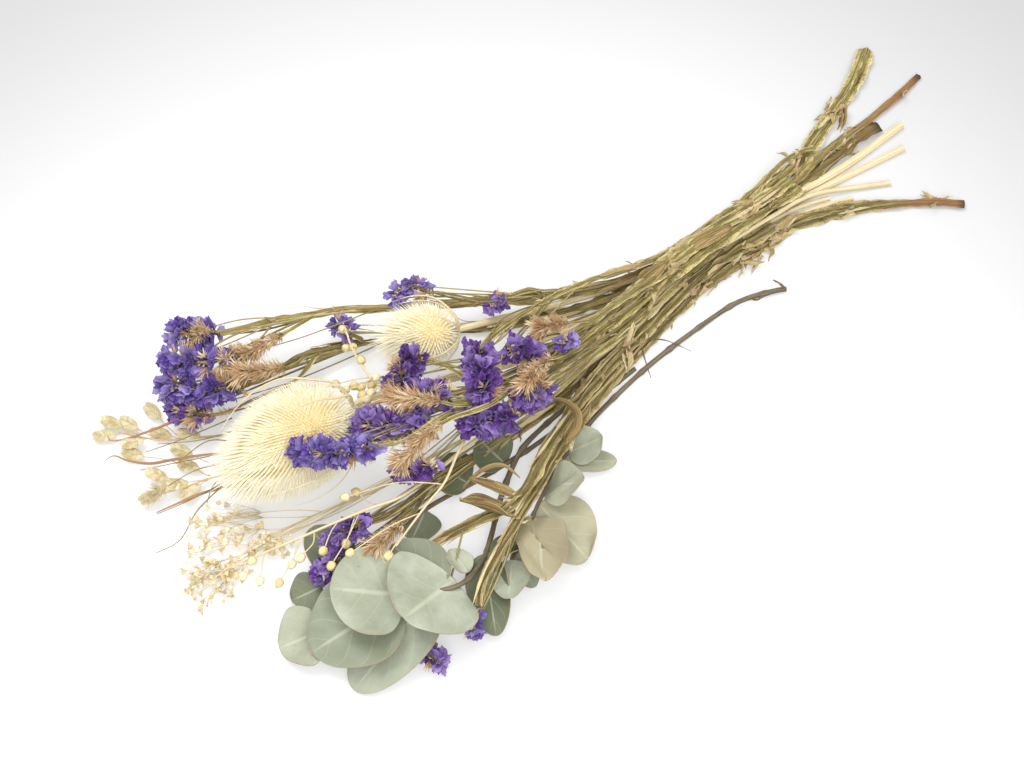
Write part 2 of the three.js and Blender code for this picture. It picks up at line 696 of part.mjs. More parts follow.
// The straight stretches of a tube's axis, for what has to start exactly on it
const chords = (line, steps) => Array.from({ length: steps + 1 }, (_, n) => pointAt(line, n / steps));

const join = (pieces) => pieces.reduce((sum, p) => sum.add(p));

// A direction that leans out of a line by a random turn about it
function leaning(frame, angle, lean) {
  return frame.side
    .clone()
    .multiplyScalar(Math.cos(angle))
    .addScaledVector(frame.lift, Math.sin(angle))
    .addScaledVector(frame.along, lean)
    .normalize();
}

function leaf({ tip, width, roll, cup }, foot, sides, grow) {
  const along = place(tip).sub(foot);
  const length = along.length();
  along.normalize();
  const face = up.clone().addScaledVector(along, -up.dot(along)).normalize();
  face.applyAxisAngle(along, THREE.MathUtils.degToRad(roll));
  const across = new THREE.Vector3().crossVectors(face, along);
  const g = new THREE.CylinderGeometry(1, 1, leafThickness + 2 * grow, sides, 1);
  return solid(
    shape(g, (v) => {
      const middle = Math.hypot(v.x, v.z) < 0.5;
      const z = v.z;
      const x = v.x * (1 - 0.16 * z) * (1 + (grow * 2) / width);
      const dip = middle ? -cup * 0.5 : cup * x * x - 0.25 * cup * z * z;
      const thick = v.y;
      v.copy(foot).addScaledVector(along, ((z + 1) / 2) * length + grow * Math.sign(z));
      v.addScaledVector(across, (x * width) / 2).addScaledVector(face, dip + thick);
    }),
  );
}

// The leaves of a branch, each rooted in the tube that follows the line
function rootedLeaves(list, line, steps, sides, grow) {
  const onAxis = chords(chords(line, steps), 400);
  return list.map((one) => {
    const from = place(one.from);
    const foot = onAxis.reduce((a, b) => (a.distanceTo(from) < b.distanceTo(from) ? a : b));
    return leaf(one, foot.clone().setZ(foot.z + one.lift), sides, grow);
  });
}

// A branch whose last part is covered in whorls of three pointed husks, staggered from one to the next
function huskBranch(line, width, whorls, grow) {
  const bare = 2;
  const steps = bare + 2 * whorls;
  const share = Math.min(0.8, (whorls * huskSpacing) / (strandStep * (line.length - 1)));
  const rows = [];
  for (let n = 0; n <= steps; n++)
    rows.push(n <= bare ? ((1 - share) * n) / bare : 1 - share + (share * (n - bare)) / (2 * whorls));
  const frames = framesAt(line, rows);
  const g = new THREE.CylinderGeometry(1, 1, 1, 6, steps);
  return solid(
    shape(g, (v) => {
      const row = Math.round((v.y + 0.5) * steps);
      const whorl = Math.floor((row - bare - 1) / 2);
      const corner = Math.round((Math.atan2(v.x, v.z) / (2 * Math.PI)) * 6 + 12) % 2;
      const tip = row > bare && (row - bare) % 2 === 1 && corner === whorl % 2;
      const thin = widthAt(width, row / steps) + grow;
      const middle = Math.hypot(v.x, v.z) < 1e-6;
      const r = tip ? huskSpread + grow : thin;
      const past = row === steps ? grow + (middle ? 2.5 : 0) : 0;
      const end = (row === 0 ? -grow : past) + (tip ? huskReach : 0);
      const f = frames[row];
      const [across, over] = [v.x * r, v.z * r];
      v.copy(f.at).addScaledVector(f.along, end);
      v.addScaledVector(f.side, across).addScaledVector(f.lift, over);
    }),
  );
}

function staticeStem(name, [main, ...branches], grow) {
  const steps = Math.round(main.points.length / 7);
  const pieces = [tube(main.points, main.width, { sides: 6, steps, rib: 0.7, flat: 0.55 }, grow)];
  pieces.push(...rootedLeaves(dryLeaves[name] ?? [], main.points, steps, dryLeafSides, grow));
  for (const { points, width, whorls } of branches)
    pieces.push(
      whorls
        ? huskBranch(points, width, whorls, grow)
        : tube(points, width, { sides: 4, steps: Math.max(2, Math.round(points.length / 4)) }, grow),
    );
  return join(pieces);
}

// A closed mesh from triangles given as corner points
function closed(corners) {
  return solid(new THREE.BufferGeometry().setFromPoints(corners));
}

// Raises a floret with a flared, ruffled mouth from a face of the bloom's core
function raise(face, out, length, mouthRadius) {
  const middle = face.reduce((sum, p) => sum.add(p), new THREE.Vector3()).divideScalar(face.length);
  const heart = middle.clone().addScaledVector(out, length * 0.6);
  const mouth = face.map((p, k) => {
    const across = p.clone().sub(middle);
    across.addScaledVector(out, -across.dot(out)).setLength(mouthRadius * (k % 2 ? 0.9 : 1.1));
    return middle.clone().add(across).addScaledVector(out, length * (k % 2 ? 1.1 : 0.9));
  });
  return face.flatMap((p, k) => {
    const next = (k + 1) % face.length;
    return [p, face[next], mouth[next], p, mouth[next], mouth[k], mouth[k], mouth[next], heart];
  });
}

// A bloom: a slim core along a line, with a floret on every other face, as on a chessboard
function bloom({ line, core, floret }, seed, grow) {
  const roll = dice(seed);
  const points = smoothLine(line.map(place), 1);
  const length = points.length - 1;
  const rings = Math.max(2, Math.round(length / floretSpacing));
  const frames = framesAlong(points, rings);
  const corners = frames.map((f, n) => {
    const swell = 0.7 + 0.3 * Math.sin((Math.PI * n) / rings);
    return Array.from({ length: 6 }, (_, k) => {
      const angle = ((k + 0.3 * (roll() - 0.5)) * Math.PI) / 3;
      const out = f.side.clone().multiplyScalar(Math.cos(angle)).addScaledVector(f.lift, Math.sin(angle));
      return f.at.clone().addScaledVector(out, core * swell + grow);
    });
  });
  const triangles = [];
  for (let n = 0; n < rings; n++)
    for (let k = 0; k < 6; k++) {
      const next = (k + 1) % 6;
      const face = [corners[n][k], corners[n + 1][k], corners[n + 1][next], corners[n][next]];
      if ((n + k) % 2) {
        triangles.push(face[0], face[1], face[2], face[0], face[2], face[3]);
        continue;
      }
      const axis = frames[n].at.clone().lerp(frames[n + 1].at, 0.5);
      const out = face[0].clone().add(face[2]).multiplyScalar(0.5).sub(axis).normalize();
      const share = (n + 0.5) / rings;
      out.addScaledVector(frames[n].along, 1.1 * (share - 0.45) + 0.2 * (roll() - 0.5)).normalize();
      triangles.push(...raise(face, out, floret * (0.5 + 0.3 * roll()) + grow, floret * mouthShare + grow));
    }
  const start = frames[0].along.clone().negate();
  triangles.push(...raise(corners[0], start, floret * 0.3 + grow, core));
  const outer = [...corners[rings]].reverse();
  triangles.push(...raise(outer, frames[rings].along, floret * 0.6 + grow, floret * mouthShare));
  return closed(triangles);
}

// The outline of a teasel head: egg-shaped, fullest nearer its base
function teaselRadius({ radius }, t) {
  return radius * Math.pow(Math.sin(Math.PI * Math.pow(Math.min(0.999, Math.max(0.001, t)), 0.8)), 0.62);
}

function teaselHead(head, grow) {
  const base = place(head.base);
  const tip = place(head.tip);
  const [frame] = framesAlong([base, tip], 1);
  const length = base.distanceTo(tip);
  const ball = new THREE.OctahedronGeometry(1, head.detail);
  const source = ball.getAttribute("position");
  const onHead = (v) => {
    const t = (v.y + 1) / 2;
    const around = Math.atan2(v.z, v.x);
    const r = teaselRadius(head, t) + grow;
    return frame.at
      .clone()
      .addScaledVector(frame.along, t * length)
      .addScaledVector(frame.side, r * Math.cos(around))
      .addScaledVector(frame.lift, r * Math.sin(around));
  };
  const corners = [];
  for (let i = 0; i < source.count; i += 3) {
    const face = [0, 1, 2].map((k) => new THREE.Vector3().fromBufferAttribute(source, i + k));
    const middle = face[0].clone().add(face[1]).add(face[2]).divideScalar(3);
    const outer = face.map(onHead);
    const inner = face.map((c) => onHead(c.clone().lerp(middle, 0.72).normalize()));
    const t = (middle.clone().normalize().y + 1) / 2;
    const heart = onHead(middle.clone().normalize());
    const focus = frame.at.clone().addScaledVector(frame.along, length * (0.15 + 0.5 * t));
    const out = heart.clone().sub(focus).normalize();
    const spine = spineReach(head, t) + grow;
    const apex = heart.clone().addScaledVector(out, spine);
    for (let k = 0; k < 3; k++) {
      const m = (k + 1) % 3;
      corners.push(outer[k], outer[m], inner[m], outer[k], inner[m], inner[k], inner[k], inner[m], apex);
    }
  }
  return closed(corners);
}

// How far a spine stands out of a teasel head, which is longest at the tip
const spineReach = ({ side, point }, t) => side + (point - side) * Math.pow(t, 3);

// Long pointed bracts that curve up from a teasel head's base and follow its spines
function teaselBracts(head, grow) {
  const base = place(head.base);
  const tip = place(head.tip);
  const [frame] = framesAlong([base, tip], 1);
  const length = base.distanceTo(tip);
  const turns = [0.5, 1.6, 2.8, 4.6];
  return turns.map((angle, n) => {
    const out = leaning(frame, angle, 0);
    const far = n % 2 ? 0.6 : 0.9;
    const beside = [0.12, 0.34, 0.58, 0.8, 1].map((share) => {
      const t = share * far;
      return [t, teaselRadius(head, t) + spineReach(head, t) + bractRoom];
    });
    const line = [[-0.08, 0], [-0.06, 0.55 * head.radius], ...beside].map(([t, r]) =>
      base.clone().addScaledVector(frame.along, t * length).addScaledVector(out, r),
    );
    return tube(smoothLine(line, 4), [1.3, 0.5], { sides: 3, steps: 7 }, grow);
  });
}

function eucalyptusBranch(name, { points, width }, grow) {
  const steps = Math.round(points.length / 6);
  return join([
    tube(points, width, { sides: 5, steps }, grow),
    ...rootedLeaves(leaves[name], points, steps, leafSides, grow),
  ]);
}

// Places for bolls or spikelets round the last part of a spray, each with the point that it hangs from
function hanging(points, { places, lead, body }, seed) {
  const roll = dice(seed);
  const samples = 120;
  const length = points[0].distanceTo(points[1]) * (points.length - 1);
  return places.map((spot) => {
    const rise = tuftHeight * (roll() - 0.5);
    let near = points[points.length - 1];
    let at = near;
    let share = 1;
    for (let turn = 0; turn < 3; turn++) {
      at = place([...spot, Math.max(lowest, near.z + rise)]);
      for (let n = 0; n <= samples; n++) {
        const point = pointAt(points, n / samples);
        if (point.distanceTo(at) < near.distanceTo(at)) {
          near = point;
          share = n / samples;
        }
      }
    }
    const back = Math.max(lead * at.distanceTo(near), body + 2);
    const root = pointAt(points, Math.max(0, share - back / length));
    at.addScaledVector(at.clone().sub(root).normalize(), body / 2);
    at.z = Math.max(at.z, lowest);
    return { root, at };
  });
}

// A stalk that swells into a boll, a head or a spikelet: rows of [share of its length, half-width]
function bead(root, at, rows, { sides, flat = 1 }, grow) {
  const along = at.clone().sub(root);
  const length = along.length();
  const turn = new THREE.Quaternion().setFromUnitVectors(new THREE.Vector3(0, 1, 0), along.normalize());
  const steps = rows.length - 1;
  const g = new THREE.CylinderGeometry(1, 1, 1, sides, steps);
  return solid(
    shape(g, (v) => {
      const row = Math.round((v.y + 0.5) * steps);
      const [share, r] = rows[row];
      const end = row === 0 ? -grow : row === steps ? grow : 0;
      const thin = r > 1 ? flat : 1;
      v.set(v.x * (r + grow), share * length + end, v.z * (r * thin + grow));
      v.applyQuaternion(turn).add(root);
    }),
  );
}

// A spray: its stalk, and what hangs from it
function spray(name, { points, width }, grow, seed) {
  const rule = hangers[name];
  const steps = Math.round(points.length / 7);
  const pieces = [tube(points, width, { sides: 4, steps }, grow)];
  for (const { root, at } of hanging(chords(points, steps), rule, seed)) {
    const stalk = 1 - rule.body / at.distanceTo(root);
    const rows = [[0, fineStalk], ...rule.profile.map(([t, r]) => [stalk + (1 - stalk) * t, r])];
    pieces.push(bead(root, at, rows, rule, grow));
  }
  return join(pieces);
}

// Assembly

const strands = makeStrands();
settle(strands, makeObstacles());
const strandsOf = (plant) => strands.filter((s) => s.plant === plant);

// Each node as a maker that can also give a copy grown by some margin
const makers = [];
const addNode = (name, colour, make) => makers.push({ name, colour, make });

for (const name of Object.keys(staticeStems))
  addNode(name, colours.statice, (grow) => staticeStem(name, strandsOf(name), grow));
for (const [name, head] of Object.entries(teasels)) {
  const stem = strandsOf(head.stem)[0];
  addNode(head.stem, colours.paleStem, (grow) =>
    join([
      tube(stem.points, stem.width, { sides: 5, steps: Math.round(stem.points.length / 6) }, grow),
      ...teaselBracts(head, grow),
    ]),
  );
  addNode(name, colours.teasel, (grow) => teaselHead(head, grow));
}
Object.keys(eucalyptusBranches).forEach((name) =>
  addNode(name, colours.eucalyptus, (grow) => eucalyptusBranch(name, strandsOf(name)[0], grow)),
);
Object.entries(blooms).forEach(([name, one], n) => {
  addNode(name, colours.bloom, (grow) => bloom(one, 11 + n, grow));
});
Object.keys(hangers).forEach((name, n) =>
  addNode(name, colours[name.split("_")[0]], (grow) => spray(name, strandsOf(name)[0], grow, 51 + n)),
);

// Anything below the table is cut off flat, and a later node gives way to the earlier ones that it meets
const slab = { side: 2000, depth: 100 };
const table = solid(
  new THREE.BoxGeometry(slab.side, slab.side, slab.depth).translate(0, 0, -slab.depth / 2),
);
const meet = (a, b) => {
  const [p, q] = [a.boundingBox(), b.boundingBox()];
  return [0, 1, 2].every((k) => p.min[k] < q.max[k] && q.min[k] < p.max[k]);
};
const built = [];
for (const maker of makers) {
  let body = maker.make(0).subtract(table);
  for (const earlier of built) {
    if (!meet(body, earlier.grown)) continue;
    if (body.intersect(earlier.grown).volume() > 0) body = body.subtract(earlier.grown);
  }
  built.push({ ...maker, body: largestBody(body), grown: maker.make(clearance) });
}

const bouquet = new THREE.Group();
for (const { name, colour, body } of built) {
  const mesh = body.getMesh();
  const geometry = new THREE.BufferGeometry();
  geometry.setAttribute("position", new THREE.BufferAttribute(new Float32Array(mesh.vertProperties), 3));
  geometry.setIndex(new THREE.BufferAttribute(new Uint32Array(mesh.triVerts), 1));
  geometry.computeVertexNormals();
  const material = new THREE.MeshStandardMaterial({ color: colour, roughness: 0.85, metalness: 0 });
  const piece = new THREE.Mesh(geometry, material);
  piece.name = name;
  bouquet.add(piece);
}

export default bouquet;
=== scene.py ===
# A bunch of dried flowers lying on a table: teasel heads, statice, eucalyptus, flax, broom and grass.
# Sizes are in millimetres until a piece is finished, when its mesh is scaled to metres.
import json
import math

import bmesh
import bpy
import numpy as np
from mathutils import Matrix, Vector

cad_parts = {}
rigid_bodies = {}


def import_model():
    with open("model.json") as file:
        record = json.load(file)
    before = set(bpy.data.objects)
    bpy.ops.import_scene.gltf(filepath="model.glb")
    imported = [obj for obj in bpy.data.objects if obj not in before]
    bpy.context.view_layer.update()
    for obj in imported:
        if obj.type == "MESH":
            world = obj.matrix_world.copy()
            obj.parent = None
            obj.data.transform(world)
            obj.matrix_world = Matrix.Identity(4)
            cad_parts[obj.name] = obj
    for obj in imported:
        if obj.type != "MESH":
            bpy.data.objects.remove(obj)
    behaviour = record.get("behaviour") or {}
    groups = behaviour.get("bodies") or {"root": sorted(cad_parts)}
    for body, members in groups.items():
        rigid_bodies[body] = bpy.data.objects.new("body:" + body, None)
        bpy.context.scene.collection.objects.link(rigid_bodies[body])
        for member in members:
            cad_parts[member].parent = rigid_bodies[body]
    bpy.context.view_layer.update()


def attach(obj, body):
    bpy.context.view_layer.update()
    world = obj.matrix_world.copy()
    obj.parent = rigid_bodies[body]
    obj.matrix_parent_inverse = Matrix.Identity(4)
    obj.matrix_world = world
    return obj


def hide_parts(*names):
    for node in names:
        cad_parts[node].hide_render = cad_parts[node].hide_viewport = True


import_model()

# The photograph's camera: a place is [pixel across, pixel down, height above the table in mm]
photo = {"width": 1024, "height": 768, "lens": 70, "sensor": 36, "distance": 1285,
         "elevation": 62, "heading": 38}
footprintMiddle = (67.0, 7.58)
up = np.array((0.0, 0.0, 1.0))


def place(spot):
    across, down, height = spot
    focal = photo["width"] * photo["lens"] / photo["sensor"]
    tilt, turn = math.radians(photo["elevation"]), math.radians(photo["heading"])
    right = (across - photo["width"] / 2) / focal
    below = (down - photo["height"] / 2) / focal
    reach = (photo["distance"] * math.sin(tilt) - height) / (math.sin(tilt) + below * math.cos(tilt))
    x = reach * right
    y = reach * (math.cos(tilt) - below * math.sin(tilt)) - photo["distance"] * math.cos(tilt)
    return np.array((
        x * math.cos(turn) + y * math.sin(turn) - footprintMiddle[0],
        y * math.cos(turn) - x * math.sin(turn) - footprintMiddle[1],
        height,
    ))


def viewpoint():
    tilt, turn = math.radians(photo["elevation"]), math.radians(photo["heading"])
    back = photo["distance"] * math.cos(tilt)
    return np.array((-back * math.sin(turn) - footprintMiddle[0], -back * math.cos(turn) - footprintMiddle[1],
                     photo["distance"] * math.sin(tilt)))


# Stems from their cut ends to their heads, as [half-width at the start, at the end], the places that
# they pass, and for a branch the share of its stem where it leaves and its whorls of husks
staticeStems = {
    "statice_stem_1": ((5.2, 2.4), [(866, 54, 20), (850, 88, 20), (826, 122, 18), (798, 162, 16),
        (762, 204, 16), (712, 242, 18), (655, 284, 22), (600, 322, 28), (556, 346, 36), (528, 354, 44),
        (508, 346, 48)],
        [(0.72, (1.6, 1.3), 4, [(566, 352, 46), (545, 366, 56), (526, 384, 62)])]),
    "statice_stem_2": ((3.6, 1.8), [(917, 84, 14), (880, 118, 14), (838, 152, 13), (795, 190, 12),
        (745, 226, 12), (690, 256, 14), (620, 282, 16), (550, 296, 20), (480, 303, 24), (400, 311, 26),
        (330, 317, 28), (280, 322, 33), (246, 328, 38), (220, 334, 41)],
        [(0.6, (1.6, 1.2), 0, [(530, 290, 28), (505, 297, 33)]),
         (0.68, (1.6, 1.2), 0, [(460, 297, 32), (440, 293, 35), (430, 293, 36)]),
         (0.88, (1.5, 1.2), 4, [(286, 334, 38), (264, 346, 40), (244, 355, 40)])]),
    "statice_stem_3": ((4.6, 1.8), [(873, 139, 7), (845, 158, 7), (800, 196, 7), (750, 232, 8),
        (700, 262, 8), (640, 292, 10), (570, 312, 12), (500, 326, 9), (455, 334, 4), (400, 340, 4),
        (345, 346, 12), (310, 354, 20), (282, 368, 26), (258, 380, 28), (240, 384, 29)],
        [(0.82, (1.5, 1.2), 0, [(362, 340, 14), (350, 334, 18)]),
         (0.9, (1.5, 1.2), 4, [(292, 366, 36), (268, 370, 42), (242, 372, 45)]),
         (0.88, (1.5, 1.2), 0, [(296, 380, 16), (262, 396, 20), (228, 411, 21), (209, 415, 21)])]),
    "statice_stem_4": ((3.0, 2.0), [(806, 147, 26), (776, 152, 27), (742, 177, 26), (702, 206, 24),
        (650, 240, 24), (600, 268, 27), (545, 300, 34), (505, 328, 44), (480, 350, 50)], []),
    "statice_stem_5": ((4.4, 1.8), [(798, 205, 17), (750, 236, 20), (695, 270, 24), (640, 304, 28),
        (590, 338, 32), (540, 370, 36), (495, 392, 44), (452, 402, 50)],
        [(0.76, (1.6, 1.3), 5, [(496, 412, 50), (452, 424, 54), (425, 440, 56), (402, 462, 54)]),
         (0.83, (1.6, 1.3), 0, [(488, 382, 46), (450, 366, 54), (420, 358, 56)]),
         (0.88, (1.6, 1.3), 4, [(462, 398, 60), (430, 396, 68), (396, 398, 66)]),
         (0.86, (1.6, 1.3), 0, [(480, 408, 44), (450, 418, 46), (426, 423, 48)]),
         (0.91, (1.5, 1.3), 0, [(444, 414, 58), (404, 440, 60), (374, 446, 57)])]),
    "statice_stem_6": ((4.2, 2.0), [(784, 228, 12), (735, 258, 14), (675, 296, 18), (620, 336, 24),
        (578, 364, 34), (548, 380, 46)],
        [(0.77, (1.5, 1.3), 0, [(560, 390, 40), (530, 410, 46), (512, 416, 47)])]),
    "statice_stem_7": ((4.2, 1.8), [(779, 244, 6), (710, 284, 6), (650, 330, 7), (600, 370, 8),
        (548, 412, 8), (490, 450, 10), (430, 486, 14), (394, 512, 20), (368, 523, 22)],
        [(0.86, (1.5, 1.2), 3, [(412, 514, 24), (394, 530, 28), (376, 546, 28)]),
         (0.91, (1.4, 1.2), 0, [(392, 530, 12), (370, 542, 14), (346, 556, 18)])]),
    "statice_stem_8": ((4.8, 2.2), [(961, 214, 12), (925, 216, 11), (888, 224, 9), (850, 235, 7),
        (805, 246, 6), (760, 264, 6), (715, 290, 7), (668, 322, 10), (625, 360, 14), (590, 402, 20),
        (564, 440, 26), (538, 480, 30), (514, 522, 32), (494, 556, 30), (481, 584, 25),
        (478, 606, 20)], []),
    "statice_stem_9": ((4.2, 1.8), [(790, 198, 21), (730, 238, 26), (670, 276, 30), (615, 308, 36),
        (580, 330, 44), (560, 340, 50)],
        [(0.77, (1.4, 1.2), 3, [(588, 322, 46), (562, 324, 52), (540, 328, 56)])]),
    "statice_stem_10": ((4.4, 1.8), [(776, 242, 12), (715, 280, 14), (660, 322, 18), (615, 362, 22),
        (578, 405, 28), (551, 446, 32), (528, 490, 34), (506, 510, 32), (468, 527, 28), (430, 549, 20),
        (418, 590, 7), (420, 650, 6)], []),
}
paleStems = {
    "teasel_stem_large": ((2.8, 2.4), [(901, 125, 10), (830, 180, 10), (770, 220, 10), (715, 254, 10),
        (660, 288, 10), (590, 326, 10), (520, 360, 12), (460, 376, 18), (400, 388, 28), (366, 398, 34),
        (344, 411, 37)]),
    "teasel_stem_small": ((2.4, 2.2), [(903, 148, 6), (850, 178, 6), (790, 215, 6), (730, 246, 6),
        (680, 268, 6), (620, 286, 8), (550, 306, 14), (495, 320, 22), (452, 331, 28)]),
    "flax_spray_1": ((1.9, 1.1), [(858, 204, 4), (800, 228, 6), (750, 254, 8), (700, 288, 10),
        (640, 332, 14), (570, 378, 20), (515, 412, 28), (468, 445, 36), (440, 468, 38), (402, 496, 39),
        (372, 508, 38), (330, 526, 34), (266, 552, 20), (228, 568, 11), (206, 586, 6)]),
    "flax_spray_2": ((1.9, 1.1), [(890, 183, 8), (820, 208, 12), (755, 243, 16), (700, 272, 20),
        (640, 308, 26), (570, 354, 32), (510, 398, 38), (470, 432, 46), (447, 478, 52), (430, 500, 52),
        (412, 524, 48), (396, 546, 42)]),
    "flax_spray_3": ((1.8, 1.1), [(812, 205, 14), (760, 230, 16), (700, 262, 18), (640, 296, 20),
        (560, 334, 22), (500, 358, 22), (440, 378, 26), (405, 390, 30), (380, 388, 33), (364, 370, 33),
        (352, 348, 31), (345, 328, 29)]),
    "broom_spray_1": ((1.7, 1.0), [(835, 205, 10), (780, 236, 12), (720, 270, 12), (660, 310, 12),
        (600, 352, 10), (540, 395, 10), (480, 430, 12), (430, 458, 12), (385, 486, 12), (340, 505, 12),
        (300, 522, 11), (255, 545, 9), (222, 572, 6)]),
    "grass_spray_1": ((1.5, 0.9), [(622, 300, 3), (570, 325, 3), (500, 355, 3), (430, 385, 3),
        (360, 408, 3), (300, 425, 3), (250, 432, 3), (205, 437, 6), (160, 440, 8), (118, 432, 6)]),
    "grass_spray_2": ((1.5, 0.9), [(616, 330, 3), (570, 349, 3), (500, 378, 3), (430, 405, 3),
        (360, 432, 3), (300, 452, 3), (250, 466, 3), (210, 478, 6), (176, 490, 8), (150, 496, 7)]),
}
eucalyptusBranches = {
    "eucalyptus_branch_1": ((2.1, 1.3), [(786, 289, 8), (770, 292, 8), (738, 302, 6), (702, 325, 5),
        (650, 364, 4), (605, 406, 4), (575, 440, 5), (556, 470, 8), (540, 500, 10), (527, 530, 10),
        (512, 560, 12)]),
    "eucalyptus_branch_2": ((2.2, 1.3), [(700, 292, 3), (640, 342, 3), (590, 386, 3), (545, 430, 4),
        (518, 465, 8), (500, 505, 12), (492, 535, 16), (482, 562, 22), (463, 583, 28), (436, 591, 28),
        (403, 590, 25), (372, 600, 21), (345, 613, 16), (322, 630, 10)]),
    "eucalyptus_branch_3": ((1.9, 1.2), [(640, 372, 3), (580, 412, 3), (530, 446, 3), (480, 478, 4),
        (430, 506, 4), (385, 538, 6), (345, 566, 8), (322, 586, 8)]),
}

# Leaves, as where each leaves its branch, how far above its middle, its tip, width, roll in degrees
# and cupping
dryLeaves = {
    "statice_stem_8": [((516, 510, 32), 0, (461, 498, 34), 16, 30, 5),
                       ((566, 436, 26), 0, (590, 406, 40), 8, 20, 3)],
    "statice_stem_10": [((524, 494, 34), 0, (470, 478, 40), 7, -20, 3)],
    "statice_stem_1": [((640, 294, 24), 0, (668, 262, 34), 9, 0, 2)],
    "statice_stem_9": [((700, 256, 28), 0, (732, 226, 36), 8, 0, 2)],
}
leaves = {
    "eucalyptus_branch_1": [
        ((567, 450, 6), 0.8, (602, 437, 18), 24, 5, 2), ((562, 458, 6), -0.8, (617, 461, 3), 20, -5, 1),
        ((546, 488, 9), 0.8, (583, 480, 30), 24, -25, 2), ((540, 502, 10), 0, (587, 558, 12), 44, 10, 4),
        ((533, 516, 10), 0.8, (546, 578, 36), 26, -30, 5), ((512, 560, 12), 0, (508, 598, 22), 24, 5, 2),
        ((519, 546, 11), -0.8, (533, 588, 3), 18, 0, 2), ((522, 540, 10), 0, (492, 556, 16), 20, 20, 3)],
    "eucalyptus_branch_2": [
        ((463, 583, 28), 0.9, (404, 617, 40), 64, 0, 4), ((403, 590, 26), 0.8, (330, 588, 34), 60, 0, 3),
        ((396, 591, 24), -0.7, (312, 652, 15), 58, 0, 3), ((325, 628, 10), 0, (279, 648, 5), 40, 5, 3),
        ((436, 591, 28), -0.9, (354, 690, 3), 44, 0, 2), ((450, 588, 28), -0.8, (392, 545, 20), 36, 0, 2),
        ((474, 572, 25), 0, (450, 549, 20), 16, 20, 2), ((487, 550, 19), 0, (496, 636, 8), 27, 10, 4)],
    "eucalyptus_branch_3": [
        ((345, 566, 8), 0.7, (310, 528, 14), 32, 10, 3), ((425, 510, 4), 0, (412, 540, 3), 28, 0, 2),
        ((470, 484, 4), 0.7, (436, 462, 12), 32, 5, 2), ((505, 462, 4), 0.7, (478, 438, 12), 32, 5, 2),
        ((322, 586, 8), 0, (292, 600, 8), 26, 0, 2)],
}

# Statice blooms, as the number of their stem, the line that the florets stand on, core radius,
# floret length
blooms = {
    1: (2, [(216, 332, 41), (182, 334, 38)], 4.4, 8.4),
    2: (2, [(240, 358, 41), (206, 362, 44), (174, 361, 41)], 4.4, 8),
    3: (3, [(236, 386, 29), (204, 391, 33), (170, 387, 30)], 4.4, 8),
    4: (5, [(420, 356, 56), (408, 364, 58), (398, 382, 56)], 4.6, 8.5),
    5: (5, [(450, 398, 53), (424, 396, 57)], 4.4, 8.5),
    6: (5, [(428, 424, 48), (400, 425, 50), (368, 425, 50)], 4.4, 9),
    7: (5, [(374, 446, 56), (338, 453, 62), (304, 452, 62)], 3.8, 8),
    8: (5, [(434, 468, 46), (402, 472, 46)], 3.4, 6.5),
    9: (4, [(478, 350, 51), (481, 369, 54), (484, 388, 54)], 4.8, 9.2),
    10: (1, [(506, 344, 49), (532, 358, 50)], 4.4, 8.5),
    11: (6, [(546, 380, 48), (528, 396, 52)], 4.6, 9),
    12: (6, [(514, 416, 47), (476, 423, 46)], 4.6, 9),
    13: (9, [(558, 341, 52), (568, 340, 54)], 2.6, 6),
    14: (2, [(430, 293, 37), (410, 285, 39), (396, 296, 36)], 3, 6),
    15: (3, [(352, 334, 20), (340, 326, 22)], 3.4, 6.5),
    16: (7, [(368, 523, 22), (352, 528, 24), (334, 541, 24)], 3.4, 7),
    17: (7, [(346, 556, 18), (322, 572, 16)], 3.2, 7),
    18: (10, [(420, 652, 7), (438, 660, 7)], 3, 6.5),
    19: (8, [(477, 608, 19), (475, 630, 14)], 2.6, 5.5),
    20: (2, [(506, 297, 33), (494, 305, 33)], 3, 5.5),
    21: (3, [(204, 415, 21), (180, 410, 17)], 4, 7.6),
}
teasels = {
    "large": {"base": (344, 411, 37), "tip": (231, 477, 37), "radius": 29, "side": 6.5, "point": 15},
    "small": {"base": (453, 332, 28), "tip": (388, 336, 28), "radius": 16.5, "side": 5, "point": 15},
}
# What hangs on each spray, by its place in the photograph. A hanger's body is so many mm long, and it
# leaves the spray "lead" times its distance before it.
hangerRules = {"flax": {"lead": 0.9, "body": 5.6}, "broom": {"lead": 1.6, "body": 4.4},
               "grass": {"lead": 1.2, "body": 13}}
hangers = {
    "flax_spray_1": [(346, 544), (323, 551), (331, 566), (301, 558), (292, 564), (279, 583),
        (260, 581), (243, 576), (356, 492), (252, 561)],
    "flax_spray_2": [(350, 553), (388, 556), (345, 497)],
    "flax_spray_3": [(342, 329), (346, 348), (353, 347), (361, 360), (376, 378), (361, 387),
        (372, 385), (362, 395), (371, 393), (367, 400), (345, 390), (335, 384), (354, 386)],
    "broom_spray_1": [(221, 513), (231, 519), (207, 525), (223, 535), (242, 530), (264, 536),
        (278, 544), (199, 549), (213, 561), (199, 569), (230, 567), (214, 577), (197, 588), (207, 600),
        (228, 582), (242, 574), (257, 552)],
    "grass_spray_1": [(153, 412), (129, 424), (112, 423), (133, 442), (161, 434), (189, 434), (105, 436)],
    "grass_spray_2": [(133, 454), (189, 466), (182, 451), (157, 475), (177, 484), (151, 497), (191, 491)],
}
lowest, tuftHeight = 3.4, 10  # the least height of a hanger, and how far a tuft spreads in height
